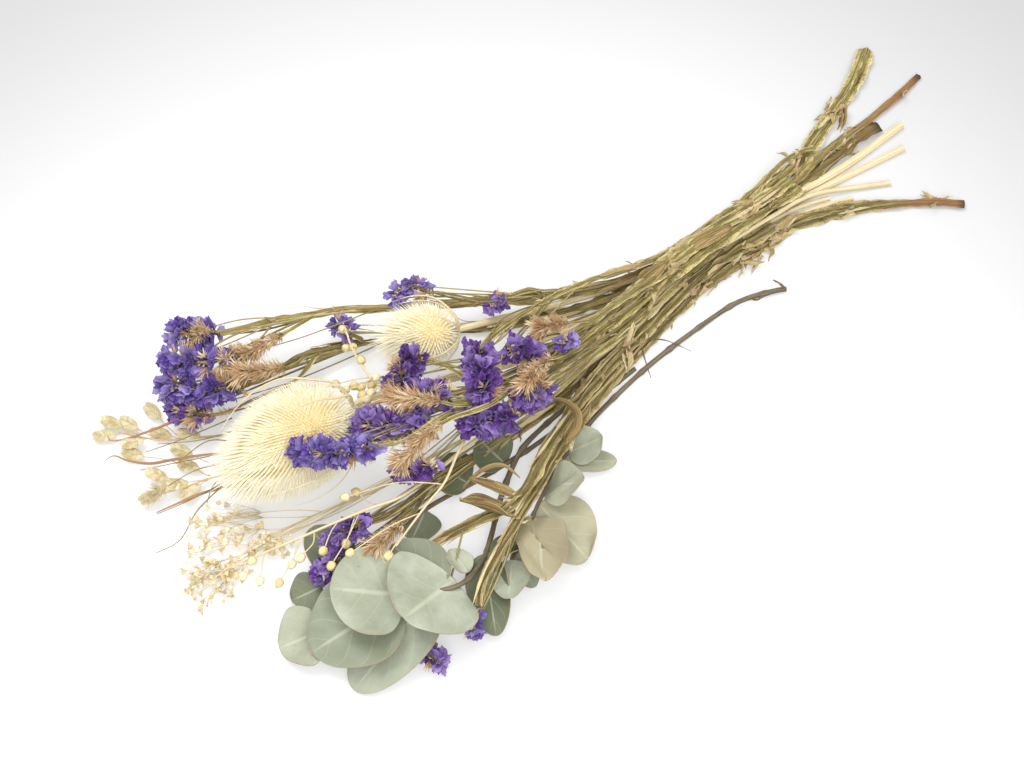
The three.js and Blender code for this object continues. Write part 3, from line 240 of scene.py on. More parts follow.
# The same settling as in the solids: stems push apart to a gap, drop and draw in at the waist
settling = {
    "rounds": 160, "gap": 0.5, "drop": 0.22, "draw": 0.03, "waist": (735, 232), "waistReach": 90,
    "nesting": 0.85, "leastReach": 2.6, "grassReach": 1.6, "step": 6, "taperFrom": 0.6,
    "outside": "eucalyptus_branch_1", "pairsEvery": 8, "pairReach": 30, "early": 0.6, "firmness": 0.8,
    "mostPush": 1.5, "ease": (0.5, 0.2), "flatten": 0.62, "headFreedom": 0.3,
}


# Lines

def dice(seed):
    state = [seed]

    def roll():
        state[0] = (state[0] * 1664525 + 1013904223) & 0xFFFFFFFF
        return state[0] / 4294967296

    return roll


def smoothLine(points, step):
    points = np.asarray(points, float)
    t = np.arange(24) / 24  # places between two points
    weights = np.stack((-0.5 * t + t**2 - 0.5 * t**3, 1 - 2.5 * t**2 + 1.5 * t**3,
                        0.5 * t + 2 * t**2 - 1.5 * t**3, -0.5 * t**2 + 0.5 * t**3), 1)
    padded = np.concatenate((points[:1], points, points[-1:]))
    fine = np.concatenate([weights @ padded[i:i + 4] for i in range(len(points) - 1)] + [points[-1:]])
    run = np.concatenate(([0], np.cumsum(np.linalg.norm(np.diff(fine, axis=0), axis=1))))
    count = max(3, math.floor(run[-1] / step + 0.5))
    want = np.linspace(0, run[-1], count + 1)
    return np.stack([np.interp(want, run, fine[:, k]) for k in range(3)], 1)


def traced(way, step):
    # a smooth line through places in the photograph
    return smoothLine([place(spot) for spot in way], step)


def pointAt(line, t):
    x = min(1, max(0, t)) * (len(line) - 1)
    i = min(len(line) - 2, int(x))
    return line[i] + (line[i + 1] - line[i]) * (x - i)


def widthAt(width, t):
    late = np.maximum(0, (t - settling["taperFrom"]) / (1 - settling["taperFrom"]))
    return width[0] + (width[1] - width[0]) * late


def unit(v):
    return v / max(1e-9, np.linalg.norm(v))


def framesOf(line):
    # directions across, above and along a line, turned as little as possible from point to point
    along = np.gradient(line, axis=0)
    along /= np.linalg.norm(along, axis=1)[:, None] + 1e-9
    side = np.zeros_like(line)
    start = np.cross(along[0], up)
    side[0] = unit(start) if np.linalg.norm(start) > 0.01 else np.array((1.0, 0, 0))
    for k in range(1, len(line)):
        side[k] = unit(side[k - 1] - along[k] * side[k - 1].dot(along[k]))
    return side, np.cross(side, along), along


def teaselRadius(head, t):
    t = np.clip(t, 0.001, 0.999)
    return head["radius"] * np.sin(math.pi * t**0.8) ** 0.62


# Settling: the stems come to lie side by side, as they do in the solids

def makeStrands():
    strands = []

    def add(plant, width, line, parent=None, joint=0, whorls=0):
        points = smoothLine(line, settling["step"])
        strands.append({"plant": plant, "width": width, "points": points, "parent": parent, "joint": joint,
                        "whorls": whorls, "home": points.copy()})
        return strands[-1]

    for plant, (width, line, branches) in staticeStems.items():
        main = add(plant, width, [place(p) for p in line])
        for joint, branchWidth, whorls, way in branches:
            start = pointAt(main["points"], joint)
            add(plant, branchWidth, [start] + [place(p) for p in way], main, joint, whorls)
    for plant, (width, line) in {**paleStems, **eucalyptusBranches}.items():
        add(plant, width, [place(p) for p in line])
    return strands


def makeObstacles():
    found = []
    for stem, line, core, floret in blooms.values():
        radius = core + 0.55 * floret
        found += [(f"statice_stem_{stem}", at, radius) for at in traced(line, radius)]
    for size, head in teasels.items():
        base, tip = place(head["base"]), place(head["tip"])
        for n in range(9):
            radius = float(teaselRadius(head, n / 8)) + head["side"] * 0.9
            found.append((f"teasel_stem_{size}", base + (tip - base) * n / 8, radius))
    return found


def settle(strands, obstacles):
    at, reach, plants, free, fall = [], [], [], [], []
    count = 0
    for s in strands:
        last = len(s["points"]) - 1
        t = np.arange(last + 1) / last
        s["first"] = count
        count += last + 1
        at.append(s["points"])
        least = settling["grassReach" if s["plant"].startswith("grass") else "leastReach"]
        reach.append(np.maximum(least, settling["nesting"] * widthAt(s["width"], t)))
        plants += [s["plant"]] * (last + 1)
        loose = np.ones(last + 1)
        loose[-3:] = settling["headFreedom"]
        loose[-1] = 0
        free.append(loose)
        fall.append(settling["drop"] * (1 - t) if s["parent"] is None else 0 * t)
    fall = np.concatenate(fall)
    at = np.concatenate(at + [np.array([o[1] for o in obstacles])])
    reach = np.concatenate(reach + [np.array([o[2] for o in obstacles])])
    free = np.concatenate(free + [np.zeros(len(obstacles))])
    plants += [o[0] for o in obstacles]
    names = sorted(set(plants))
    kind = np.array([names.index(p) for p in plants])
    waist = place((*settling["waist"], 10))
    eye = viewpoint()
    draw = np.where(np.array(plants[:count]) == settling["outside"], 0, settling["draw"])
    for turn in range(settling["rounds"]):
        if turn % settling["pairsEvery"] == 0:  # pairs that could come to touch in the next rounds
            span = np.linalg.norm(at[:count, None] - at[None], axis=2)
            near = span < reach[:count, None] + reach[None] + settling["pairReach"]
            near &= kind[:count, None] != kind[None]
            near &= np.arange(len(at))[None] > np.arange(count)[:, None]
            first, second = np.nonzero(near)
        early = turn < settling["rounds"] * settling["early"]
        apart = at[first] - at[second]
        limit = reach[first] + reach[second] + settling["gap"]
        d = np.linalg.norm(apart, axis=1)
        total = free[first] + free[second]
        hit = (d < limit) & (total > 0)
        i, j, d = first[hit], second[hit], d[hit] + 1e-6
        amount = (settling["firmness"] * (limit[hit] - d) / (d * total[hit]))[:, None] * apart[hit]
        push = np.zeros_like(at)
        np.add.at(push, i, amount * free[i][:, None])
        np.add.at(push, j, -amount * free[j][:, None])
        size = np.linalg.norm(push[:count], axis=1)
        most = settling["mostPush"]
        at[:count] += push[:count] * np.where(size > most, most / np.maximum(size, 1e-9), 1)[:, None]
        if early:
            share = np.minimum(fall, np.maximum(0, at[:count, 2] - 2)) / (eye[2] - at[:count, 2])
            at[:count] += (at[:count] - eye) * share[:, None]
            close = np.maximum(0, 1 - np.abs(at[:count, 0] - waist[0]) / settling["waistReach"])
            at[:count, 1] += (waist[1] - at[:count, 1]) * draw * close * free[:count]
        ease = settling["ease"][0 if early else 1]
        for s in strands:
            a, n = s["first"], len(s["points"])
            own = at[a:a + n]
            move = own - s["home"]
            own[1:-1] += ease * ((move[:-2] + move[2:]) / 2 - move[1:-1])
            low = widthAt(s["width"], np.arange(n) / (n - 1)) * settling["flatten"]
            own[:, 2] = np.maximum(own[:, 2], low)
            if s["parent"] is not None:
                p = s["parent"]
                own[0] = pointAt(at[p["first"]:p["first"] + len(p["points"])], s["joint"])
    for s in strands:
        s["points"] = at[s["first"]:s["first"] + len(s["points"])].copy()


strands = makeStrands()
settle(strands, makeObstacles())
strandsOf = {}
for s in strands:
    strandsOf.setdefault(s["plant"], []).append(s)
print("settled", len(strands), "stems")


# Making pieces

weld = 0.004  # corners nearer than this become one
millimetre = 0.001
sharpFrom = 50  # the angle between faces, in degrees, from which an edge stays sharp


def hexColour(code):
    parts = [int(code[i:i + 2], 16) / 255 for i in (0, 2, 4)]
    return (*[c / 12.92 if c <= 0.04045 else ((c + 0.055) / 1.055) ** 2.4 for c in parts], 1)


def addNode(tree, kind, inputs, **settings):
    node = tree.nodes.new("ShaderNode" + kind)
    for key, value in settings.items():
        setattr(node, key, value)
    for socket, value in inputs.items():
        if isinstance(value, bpy.types.NodeSocket):
            tree.links.new(value, node.inputs[socket])
        else:
            node.inputs[socket].default_value = value
    return node


def anyAngle(rng, *count):
    return 6.28 * rng.random(*count)  # near enough a full turn


def patternOf(part, tint=0.5, look=0):
    # a part as a mesh of its own, with one tint and one of its piece's materials
    for face in part.faces:
        face.material_index = look
        face.smooth = True
    mesh = bpy.data.meshes.new("part")
    part.to_mesh(mesh)
    part.free()
    tints = mesh.attributes.new("tint", "FLOAT", "POINT")
    tints.data.foreach_set("value", np.full(len(mesh.vertices), tint, np.float32))
    return mesh


def stick(piece, part, tint=0.5, look=0):
    mesh = patternOf(part, tint, look)
    piece.from_mesh(mesh)
    bpy.data.meshes.remove(mesh)


def strew(piece, patterns, groups):
    # copies of small meshes: each group says where its pattern goes, as matrices with tints
    for pattern, group in zip(patterns, groups):
        for matrix, tint in group:
            copy = pattern.copy()
            copy.transform(matrix)
            copy.attributes["tint"].data.foreach_set("value", np.full(len(copy.vertices), tint, np.float32))
            piece.from_mesh(copy)
            bpy.data.meshes.remove(copy)


def sheetOf(rule, across, along, close=True):
    # a grid bent by a rule of two shares; a closed one is welded at its seam and filled at its ends
    part = bmesh.new()
    part.loops.layers.uv.new("UVMap")
    bmesh.ops.create_grid(part, x_segments=across, y_segments=along, size=0.5, calc_uvs=True)
    u = np.tile(np.linspace(0, 1, across + 1), along + 1)
    v = np.repeat(np.linspace(0, 1, along + 1), across + 1)
    for vert, spot in zip(part.verts, rule(u, v)):
        vert.co = spot
    if close:
        bmesh.ops.remove_doubles(part, verts=part.verts[:], dist=weld)
        bmesh.ops.holes_fill(part, edges=[e for e in part.edges if e.is_boundary], sides=0)
        bmesh.ops.recalc_face_normals(part, faces=part.faces[:])
    return part


def thicken(part, thickness, markRim=False):
    bmesh.ops.remove_doubles(part, verts=part.verts[:], dist=weld)
    if markRim:  # for the colour at the edge of a leaf
        rim = part.verts.layers.float.new("rim")
        for vert in part.verts:
            vert[rim] = 1.0 if vert.is_boundary else 0.0
    bmesh.ops.recalc_face_normals(part, faces=part.faces[:])
    bmesh.ops.solidify(part, geom=part.faces[:], thickness=thickness)
    return part


def ringed(radius, angle, height):
    return np.stack((radius * np.cos(angle), radius * np.sin(angle), height), 1)


def sweep(line, offsets, sides):
    # a tube along a line: offsets gives how far each point stands across and above the line
    side, lift, _ = framesOf(line)
    steps = len(line) - 1
    far = np.linalg.norm(np.diff(line, axis=0), axis=1).sum() / 100  # the finishes repeat every 100 mm

    def rule(u, v):
        row = np.rint(v * steps).astype(int)
        x, y = offsets(u, v)
        return line[row] + side[row] * x[:, None] + lift[row] * y[:, None]

    part = sheetOf(rule, sides, steps)
    layer = part.loops.layers.uv.active
    for face in part.faces:
        for loop in face.loops:
            loop[layer].uv.y *= far
    return part


def roundStalk(line, radius, sides=6):
    # the radius is a number, or a rule of the share of the stalk's length
    def offsets(u, v):
        r = radius(v) if callable(radius) else radius
        return r * np.cos(2 * math.pi * u), -r * np.sin(2 * math.pi * u)

    return sweep(line, offsets, sides)


def outward(side, lift, angle, flatness=1.0):
    return side * math.cos(angle) + lift * math.sin(angle) * flatness


def turnedTo(at, direction, size, roll):
    # a matrix that stands a pattern's +Z along a direction
    turn = Vector(direction).to_track_quat("Z", "Y").to_matrix().to_4x4()
    return Matrix.Translation(Vector(at)) @ turn @ Matrix.Rotation(roll, 4, "Z") @ Matrix.Diagonal((*size, 1))


def ripple(x, seed):
    # a smooth random wave, about -1 to 1
    rng = np.random.default_rng(seed)
    total = 0
    for k in range(4):
        total = total + np.sin(x * (0.6 + 0.8 * k + 0.5 * rng.random()) + anyAngle(rng)) / (1 + 0.3 * k)
    return total / 1.9


def finishPiece(node, ending, piece, materials):
    bmesh.ops.scale(piece, vec=(millimetre,) * 3, verts=piece.verts[:])
    mesh = bpy.data.meshes.new(f"{node}_{ending}")
    piece.to_mesh(mesh)
    piece.free()
    for material in materials:
        mesh.materials.append(material)
    mesh.set_sharp_from_angle(angle=math.radians(sharpFrom))
    made = bpy.data.objects.new(mesh.name, mesh)
    bpy.context.scene.collection.objects.link(made)
    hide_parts(node)
    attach(made, "root")
    mesh.calc_loop_triangles()
    print(made.name, len(mesh.loop_triangles), "triangles")


# Finishes. Every piece carries a UV map (around or across, along) and a tint from 0 to 1 per part.

def layered(tree, colour, layers):
    # each layer is a value, where it starts to show, where it shows in full, how strongly, its colour
    for value, start, full, strength, code in layers:
        ease = addNode(tree, "MapRange", {"Value": value, "From Min": start, "From Max": full,
                       "To Max": strength})
        mixed = addNode(tree, "Mix", {0: ease.outputs["Result"], 6: colour, 7: hexColour(code)},
                        data_type="RGBA")
        colour = mixed.outputs[2]
    return colour


def newMaterial(name):
    material = bpy.data.materials.new(name)
    material.use_nodes = True
    return material, material.node_tree, material.node_tree.nodes["Principled BSDF"]


def plantFinish(name, body, dark, pale, patch, streaks=(30, 1.2), patches=(60, 0.6), roughness=0.75,
                relief=0.4, along=(), sheen=0.0, wingHighlightsAndShade=0, cracks=0.0, contrast=(0.32, 0.66), glow=0.0):
    # dry plant tissue: fibres run along each part, and age and light vary its colour in patches
    material, tree, shader = newMaterial(name)
    surface = addNode(tree, "TexCoord", {})
    stretch = addNode(tree, "Mapping", {"Vector": surface.outputs["UV"], "Scale": (*streaks, 1)})
    tint = addNode(tree, "Attribute", {}, attribute_name="tint")
    shift = addNode(tree, "Math", {0: tint.outputs["Fac"], 1: 37.0}, operation="MULTIPLY")
    fibres = addNode(tree, "TexNoise", {"Vector": stretch.outputs["Vector"], "W": shift.outputs[0],
                     "Scale": 1.0, "Detail": 3.0, "Roughness": 0.6}, noise_dimensions="4D")
    cloud = addNode(tree, "TexNoise", {"Vector": surface.outputs["Object"], "Scale": float(patches[0]),
                    "Detail": 4.0})
    split = addNode(tree, "SeparateXYZ", {"Vector": surface.outputs["UV"]})
    layers = [(fibres.outputs["Fac"], *contrast, 1.0, body), (tint.outputs["Fac"], 0.3, 1.0, 0.75, pale),
              (cloud.outputs["Fac"], patches[1], patches[1] + 0.14, 0.8, patch)]
    if wingHighlightsAndShade:  # painted highlight on the wing edges, as if they catch the light, and painted shade in the grooves between them
        turn = addNode(tree, "Math", {0: split.outputs["X"], 1: float(wingHighlightsAndShade), 2: -1 / 6},
                       operation="MULTIPLY_ADD")
        off = addNode(tree, "Math", {0: turn.outputs[0], 1: 0.5}, operation="PINGPONG").outputs[0]
        layers += [(off, 0.14, 0.0, 0.75, pale), (off, 0.22, 0.5, 0.55, dark)]
    if cracks:  # dark lines where a second, stretched noise passes its middle
        thin = addNode(tree, "Mapping", {"Vector": surface.outputs["UV"],
                       "Scale": (streaks[0] * 0.7, streaks[1] * 1.6, 1)})
        veins = addNode(tree, "TexNoise", {"Vector": thin.outputs["Vector"], "W": shift.outputs[0],
                        "Scale": 1.0, "Detail": 4.0, "Roughness": 0.7}, noise_dimensions="4D")
        line = addNode(tree, "Math", {0: veins.outputs["Fac"], 1: 0.5}, operation="SUBTRACT")
        width = addNode(tree, "Math", {0: line.outputs[0]}, operation="ABSOLUTE")
        layers.append((width.outputs[0], 0.022, 0.004, cracks, "4a3f1e"))
    # a colour that grows between two shares of the length
    layers += [(split.outputs["Y"], start, full, strength, code) for start, full, code, strength in along]
    tree.links.new(layered(tree, hexColour(dark), layers), shader.inputs["Base Color"])
    for socket, value in {"Roughness": roughness, "Sheen Weight": sheen, "Specular IOR Level": 0.3}.items():
        shader.inputs[socket].default_value = value
    if glow:  # thin tissue that light passes through
        shader.inputs["Subsurface Weight"].default_value = glow
        shader.inputs["Subsurface Radius"].default_value = (1.0, 0.8, 0.7)
        shader.inputs["Subsurface Scale"].default_value = 0.002
    bump = addNode(tree, "Bump", {"Height": fibres.outputs["Fac"], "Strength": relief, "Distance": 0.0005})
    tree.links.new(bump.outputs["Normal"], shader.inputs["Normal"])
    return material


barkLook = {"patches": (45, 0.61), "relief": 0.9, "contrast": (0.36, 0.6)}
# the bark's colours darkened and browned: painted shade for stems that lie low in the bunch
shadedBarkColours = ("9c8c58", "453a1c", "c2b080", "74543a")
# Dried statice stem: cellulose fibres with dull olive bark, its wing edges painted pale as highlight and its
# grooves painted dark as shade
staticeBark = plantFinish("dry_statice_bark", "bbad6c", "53461f", "dfd09a", "8a6440", streaks=(30, 7),
                          wingHighlightsAndShade=4, cracks=0.85, **barkLook)
# A stem painted in darker, browner colours all along as painted shade, where it lies low in the bunch; brown
# towards its cut and dark at the cut itself
shadedCutBark = plantFinish("shaded_statice_bark_with_brown_cut", *shadedBarkColours, streaks=(36, 7), wingHighlightsAndShade=4, cracks=0.9,
                        along=[(0.5, 0.25, "8c6240", 0.8), (0.06, 0.0, "3f2e20", 0.9)], **barkLook)
# The same painted shade for a stem cut higher up, where it is not brown
shadedBark = plantFinish("shaded_statice_bark", *shadedBarkColours, streaks=(36, 7), wingHighlightsAndShade=4, cracks=0.9, **barkLook)
# The same painted shade on a stem that shows as a dark stub, darker still over its first stretch and near
# black at its cut
shadedStubBark = plantFinish("shaded_statice_stub_bark", *shadedBarkColours, streaks=(36, 7), cracks=0.9,
                       along=[(0.9, 0.2, "6b5533", 0.75), (0.06, 0.0, "2a2218", 0.9)], **barkLook)
# The same bark where the wings have come off near the cut: orange brown, dark at the cut itself
brownedBark = plantFinish("browned_statice_bark", "ab9a62", "62502c", "d0bd8e", "8a6440", streaks=(30, 7),
                          cracks=0.6, along=[(0.85, 0.25, "8c6240", 0.8), (0.09, 0.0, "3f2e20", 0.9)],
                          **barkLook)
# Torn wing: the same tissue, thin and bleached, pinkish where it has come off the stem
tornWing = plantFinish("dry_torn_wing", "c2af80", "857242", "e2d3aa", "a07a56", streaks=(7, 2),
                       patches=(120, 0.58), cracks=0.5, relief=0.7, along=[(0.3, 0.0, "c79a7c", 0.6)])
# Statice calyx: papery, ribbed, pinkish tan, greener at its base
calyxPaper = plantFinish("papery_calyx", "d4b084", "9a744c", "f6e2bc", "b4825f", streaks=(6, 0.6),
                         patches=(150, 0.6), along=[(0.45, 0.0, "6f6036", 0.9)], contrast=(0.36, 0.6),
                         glow=0.15)
# Statice petals: papery violet, pale at the crumpled rim and darkened with painted shade towards the funnel's
# base, outside and deep in the throat, and a faded kind
petalPaper, bluePaper = (
    plantFinish(name, *colours, streaks=(26, 0.7), patches=(110, 0.62), roughness=0.7, relief=0.7,
                contrast=(0.36, 0.62), along=[(0.5, 0.1, paintedThroatShade, 0.9), (0.74, 1.0, paintedThroatShade, 0.85)],
                sheen=0.05, glow=0.15)
    for name, colours, paintedThroatShade in (
        ("violet_papery_petal", ("7647a4", "2b0e4c", "b498dc", "4c2678"), "1c0a3c"),
        ("faded_blue_violet_petal", ("7659b6", "2f1a62", "b5a4de", "4f3894"), "1c0f44")))
# Teasel: stiff straw-like bracts, tan at the root, bleached to cream at the point
teaselStraw = plantFinish("bleached_teasel_straw", "fffbe4", "f9eecb", "fffdf2", "fbf4d6", streaks=(6, 0.5),
                          patches=(70, 0.62), roughness=0.6, along=[(0.3, 0.0, "ecd9a2", 0.75)], glow=0.25)
# The teasel's spongy core, seen between its bracts
teaselCore = plantFinish("teasel_core", "e4d09a", "c4aa70", "f0e0b0", "d2b880", streaks=(40, 40),
                         patches=(200, 0.6))
# Bleached straw: teasel, flax and broom stems
bleachedStraw = plantFinish("bleached_straw", "dfcfa6", "bba578", "ece0be", "b9976c", streaks=(14, 4),
                            patches=(40, 0.64), roughness=0.6, relief=0.6)
# Flax boll: smooth dry skin, brown at its point
flaxBoll = plantFinish("flax_boll_skin", "e8daa8", "bfa76c", "f6eecb", "ad9058", streaks=(12, 0.8),
                       patches=(160, 0.62), roughness=0.5, glow=0.15,
                       along=[(0.82, 1.0, "8c6e40", 0.85), (0.22, 0.0, "98855a", 0.75)])
# Grass stalk: rosy straw
rosyStraw = plantFinish("rosy_straw", "cdb18a", "a1815c", "e2cda6", "b08c66", streaks=(14, 4),
                        patches=(40, 0.62), roughness=0.6, relief=0.5)
# Broom bloom: dry straw-yellow heads
broomStraw = plantFinish("broom_bloom_straw", "f4e6b6", "cfb274", "fdf4d6", "b8935a", streaks=(8, 1),
                         patches=(120, 0.6))
# Grass husk: papery scales, browner at their points
grassHusk = plantFinish("grass_husk", "d6c696", "a8935f", "eee3c2", "bd9468", streaks=(14, 0.6),
                        patches=(120, 0.6), along=[(0.75, 1.0, "d0ac72", 0.4)], glow=0.3)
# Grass sheath: thin, rolled up, pinkish brown
curlBrown = plantFinish("rolled_grass_sheath", "b28862", "7a563c", "d4ae88", "7d6c44", streaks=(8, 2),
                        patches=(60, 0.6))
# Eucalyptus twig: thin grey-brown bark
twigBark = plantFinish("eucalyptus_twig_bark", "7c705c", "473c2c", "9c9078", "664c38", streaks=(10, 5),
                       patches=(60, 0.6), cracks=0.6, relief=0.8)
# Dry statice leaf: crumpled brown tissue
dryLeaf = plantFinish("curled_dry_leaf", "a48e5c", "60492a", "ccb786", "7a5236", streaks=(16, 1.6),
                      patches=(90, 0.58), cracks=0.7, relief=0.9, contrast=(0.36, 0.6))


def leafFinish():
    # silver-dollar eucalyptus leaf: leathery, with a grey waxy bloom, fine veins and a rusty rim
    material, tree, shader = newMaterial("waxy_eucalyptus_leaf")
    surface = addNode(tree, "TexCoord", {})
    tint = addNode(tree, "Attribute", {}, attribute_name="tint").outputs["Fac"]
    split = addNode(tree, "SeparateXYZ", {"Vector": surface.outputs["UV"]})
    off = addNode(tree, "Math", {0: split.outputs["X"], 1: 0.5}, operation="SUBTRACT")
    away = addNode(tree, "Math", {0: off.outputs[0]}, operation="ABSOLUTE")
    cloud = addNode(tree, "TexNoise", {"Vector": surface.outputs["Object"], "Scale": 55.0, "Detail": 5.0,
                    "Roughness": 0.6})
    # side veins leave the midrib at even steps and bend forwards
    bend = addNode(tree, "Math", {0: away.outputs[0], 1: -0.7, 2: split.outputs["Y"]},
                   operation="MULTIPLY_ADD")
    wobble = addNode(tree, "Math", {0: cloud.outputs["Fac"], 1: 0.05, 2: bend.outputs[0]},
                     operation="MULTIPLY_ADD")
    rows = addNode(tree, "Math", {0: wobble.outputs[0], 1: 11.0}, operation="MULTIPLY")
    saw = addNode(tree, "Math", {0: rows.outputs[0], 1: 1.0}, operation="PINGPONG")
    side = addNode(tree, "MapRange", {"Value": saw.outputs[0], "From Min": 0.1, "From Max": 0.0})
    rib = addNode(tree, "MapRange", {"Value": away.outputs[0], "From Min": 0.022, "From Max": 0.006})
    ends = addNode(tree, "MapRange", {"Value": split.outputs["Y"], "From Min": 0.97, "From Max": 0.7})
    ribs = addNode(tree, "Math", {0: rib.outputs["Result"], 1: ends.outputs["Result"]}, operation="MULTIPLY")
    veins = addNode(tree, "Math", {0: side.outputs["Result"], 1: 0.45, 2: ribs.outputs[0]},
                    operation="MULTIPLY_ADD", use_clamp=True)
    edge = addNode(tree, "Attribute", {}, attribute_name="rim")
    specks = addNode(tree, "TexNoise", {"Vector": surface.outputs["Object"], "Scale": 420.0, "Detail": 2.0})
    colour = layered(tree, hexColour("8e947e"), [
        (cloud.outputs["Fac"], 0.3, 0.7, 1.0, "a9ae9b"), (tint, 0.5, 1.0, 1.0, "a2987a"),
        # towards a tint of 0 the leaf turns dark green: partly a young leaf's colour, partly painted shade
        # for leaves in shadow
        (tint, 0.45, 0.0, 1.0, "60674e"), (veins.outputs[0], 0.0, 1.0, 0.38, "c8cbb2"),
        (edge.outputs["Fac"], 0.45, 0.95, 0.85, "a98c70"),
        (specks.outputs["Fac"], 0.69, 0.75, 0.5, "8a7a5c")])
    tree.links.new(colour, shader.inputs["Base Color"])
    shader.inputs["Roughness"].default_value = 0.62
    shader.inputs["Specular IOR Level"].default_value = 0.35
    bump = addNode(tree, "Bump", {"Height": veins.outputs[0], "Strength": 0.35, "Distance": 0.0004})
    grain = addNode(tree, "Bump", {"Height": specks.outputs["Fac"], "Strength": 0.12, "Distance": 0.0003,
                    "Normal": bump.outputs["Normal"]})
    tree.links.new(grain.outputs["Normal"], shader.inputs["Normal"])
    return material


eucalyptusSkin = leafFinish()


# Statice stems: ribbed, with wings that are torn at each node

staticeStem = {
    "coreShare": 0.55, "ribs": 7, "ribDepth": 0.09, "wings": 4, "wingHalfAngle": 0.16,
    "wingReach": (1.12, 0.72), "flatness": 0.8, "bareLoss": 0.4, "nodeSpacing": (38, 62),
    "rowSpacing": 2.4, "stripEvery": 24, "stripReach": (14, 40), "stripThickness": 0.3, "whorlLength": 7,
}
scrapRule = {"length": 10, "width": 3.6, "thickness": 0.25, "patterns": 6}
huskRule = {"length": 7.0, "spread": 0.5, "blades": 8, "thickness": 0.12, "patterns": 4}
calyxRule = {"length": 5.5, "root": 0.35, "mouth": 1.5, "teeth": 5}
# Places that the photograph shows tattered, and how large the scraps of wing are there
tatters = [(675, 232, 1.3), (758, 211, 1.2), (570, 290, 1.1), (600, 335, 1.0), (620, 350, 1.2),
           (640, 262, 0.8), (780, 245, 1.3), (768, 252, 1.3), (752, 262, 1.2), (735, 272, 1.2),
           (715, 286, 1.2), (697, 298, 1.0), (838, 113, 1.3), (803, 140, 1.1), (836, 148, 1.0),
           (895, 222, 0.8), (540, 300, 0.9), (655, 300, 0.9), (590, 370, 0.9), (560, 430, 0.9)]
# The share of each stem that has lost its wings at a brown cut, or 0 for the dark stub
browned = {"statice_stem_2": 0.22, "statice_stem_8": 0.16, "statice_stem_3": 0.0}
# stems that lie low in the bunch, given the darker bark as painted shade
shadedStems = {"statice_stem_8": shadedCutBark, "statice_stem_10": shadedBark, "statice_stem_7": shadedBark}
# Dry leaves that curl over: their half-width in mm and the places they pass
straps = {
    "statice_stem_8": (3.4, [(566, 440, 27), (575, 427, 34), (575, 412, 41), (564, 402, 46),
                             (549, 398, 47)]),
    "statice_stem_10": (1.3, [(520, 478, 33), (503, 466, 37), (484, 470, 38), (468, 483, 36),
                              (463, 489, 37)]),
}


def scrapPattern(seed):
    # a torn end of a wing: a curled strip with a ragged point
    ragged = np.random.default_rng(seed).random(7) * 0.35
    length = scrapRule["length"]

    def rule(u, v):
        a = 2 * u - 1
        tear = 1 - ragged[np.clip((u * 6).astype(int), 0, 6)] * v
        w = scrapRule["width"] / 2 * (1 - 0.75 * v**1.5) * (1 + 0.2 * np.sin(5 * v + seed))
        y = 0.12 * length * np.sin(2.4 * v + seed) + 0.5 * a * a * w + 0.25 * np.sin(9 * v + 3 * a)
        return np.stack((a * w, y, v * length * tear), 1)

    return patternOf(thicken(sheetOf(rule, 3, 6, close=False), scrapRule["thickness"]), 0.6, 1)


def huskPattern(seed):
    # a calyx with its bracts: pointed papery blades that stand close together
    rng = np.random.default_rng(seed)
    bundle = bmesh.new()
    for k in range(huskRule["blades"]):
        lean = huskRule["spread"] * (0.35 + 0.9 * rng.random()) * (0.2 if k == 0 else 1)
        turn = 2 * math.pi * k / huskRule["blades"] + rng.random()
        reach = huskRule["length"] * (0.75 + 0.35 * rng.random())
        half = 0.4 * (0.8 + 0.4 * rng.random())
        bow = 0.5 * rng.random()

        def rule(u, v):
            a = 2 * u - 1
            w = half * np.sin(math.pi * np.clip(v * 0.86 + 0.12, 0, 1)) ** 0.8 * (1 - 0.3 * v)
            out = math.sin(lean) * v * reach + bow * v * v - 0.45 * half * a * a
            c, d = math.cos(turn), math.sin(turn)
            return np.stack((out * c - a * w * d, out * d + a * w * c, v * reach * math.cos(lean)), 1)

        stick(bundle, thicken(sheetOf(rule, 1, 3, close=False), huskRule["thickness"]), 0.5, 2)
    joined = bpy.data.meshes.new("husk")
    bundle.to_mesh(joined)
    bundle.free()
    return joined


def calyxPattern():
    # the narrow ribbed funnel that holds a floret
    def rule(u, v):
        angle = 2 * math.pi * u
        r = calyxRule["root"] + (calyxRule["mouth"] - calyxRule["root"]) * v**1.5
        teeth = 0.9 + 0.1 * np.abs(np.cos(angle * calyxRule["teeth"] / 2))
        return ringed(r, angle, calyxRule["length"] * v * teeth)

    return patternOf(sheetOf(rule, 7, 2), 0.5, 1)


scraps = [scrapPattern(seed) for seed in range(scrapRule["patterns"])]
husks = [huskPattern(seed) for seed in range(huskRule["patterns"])]


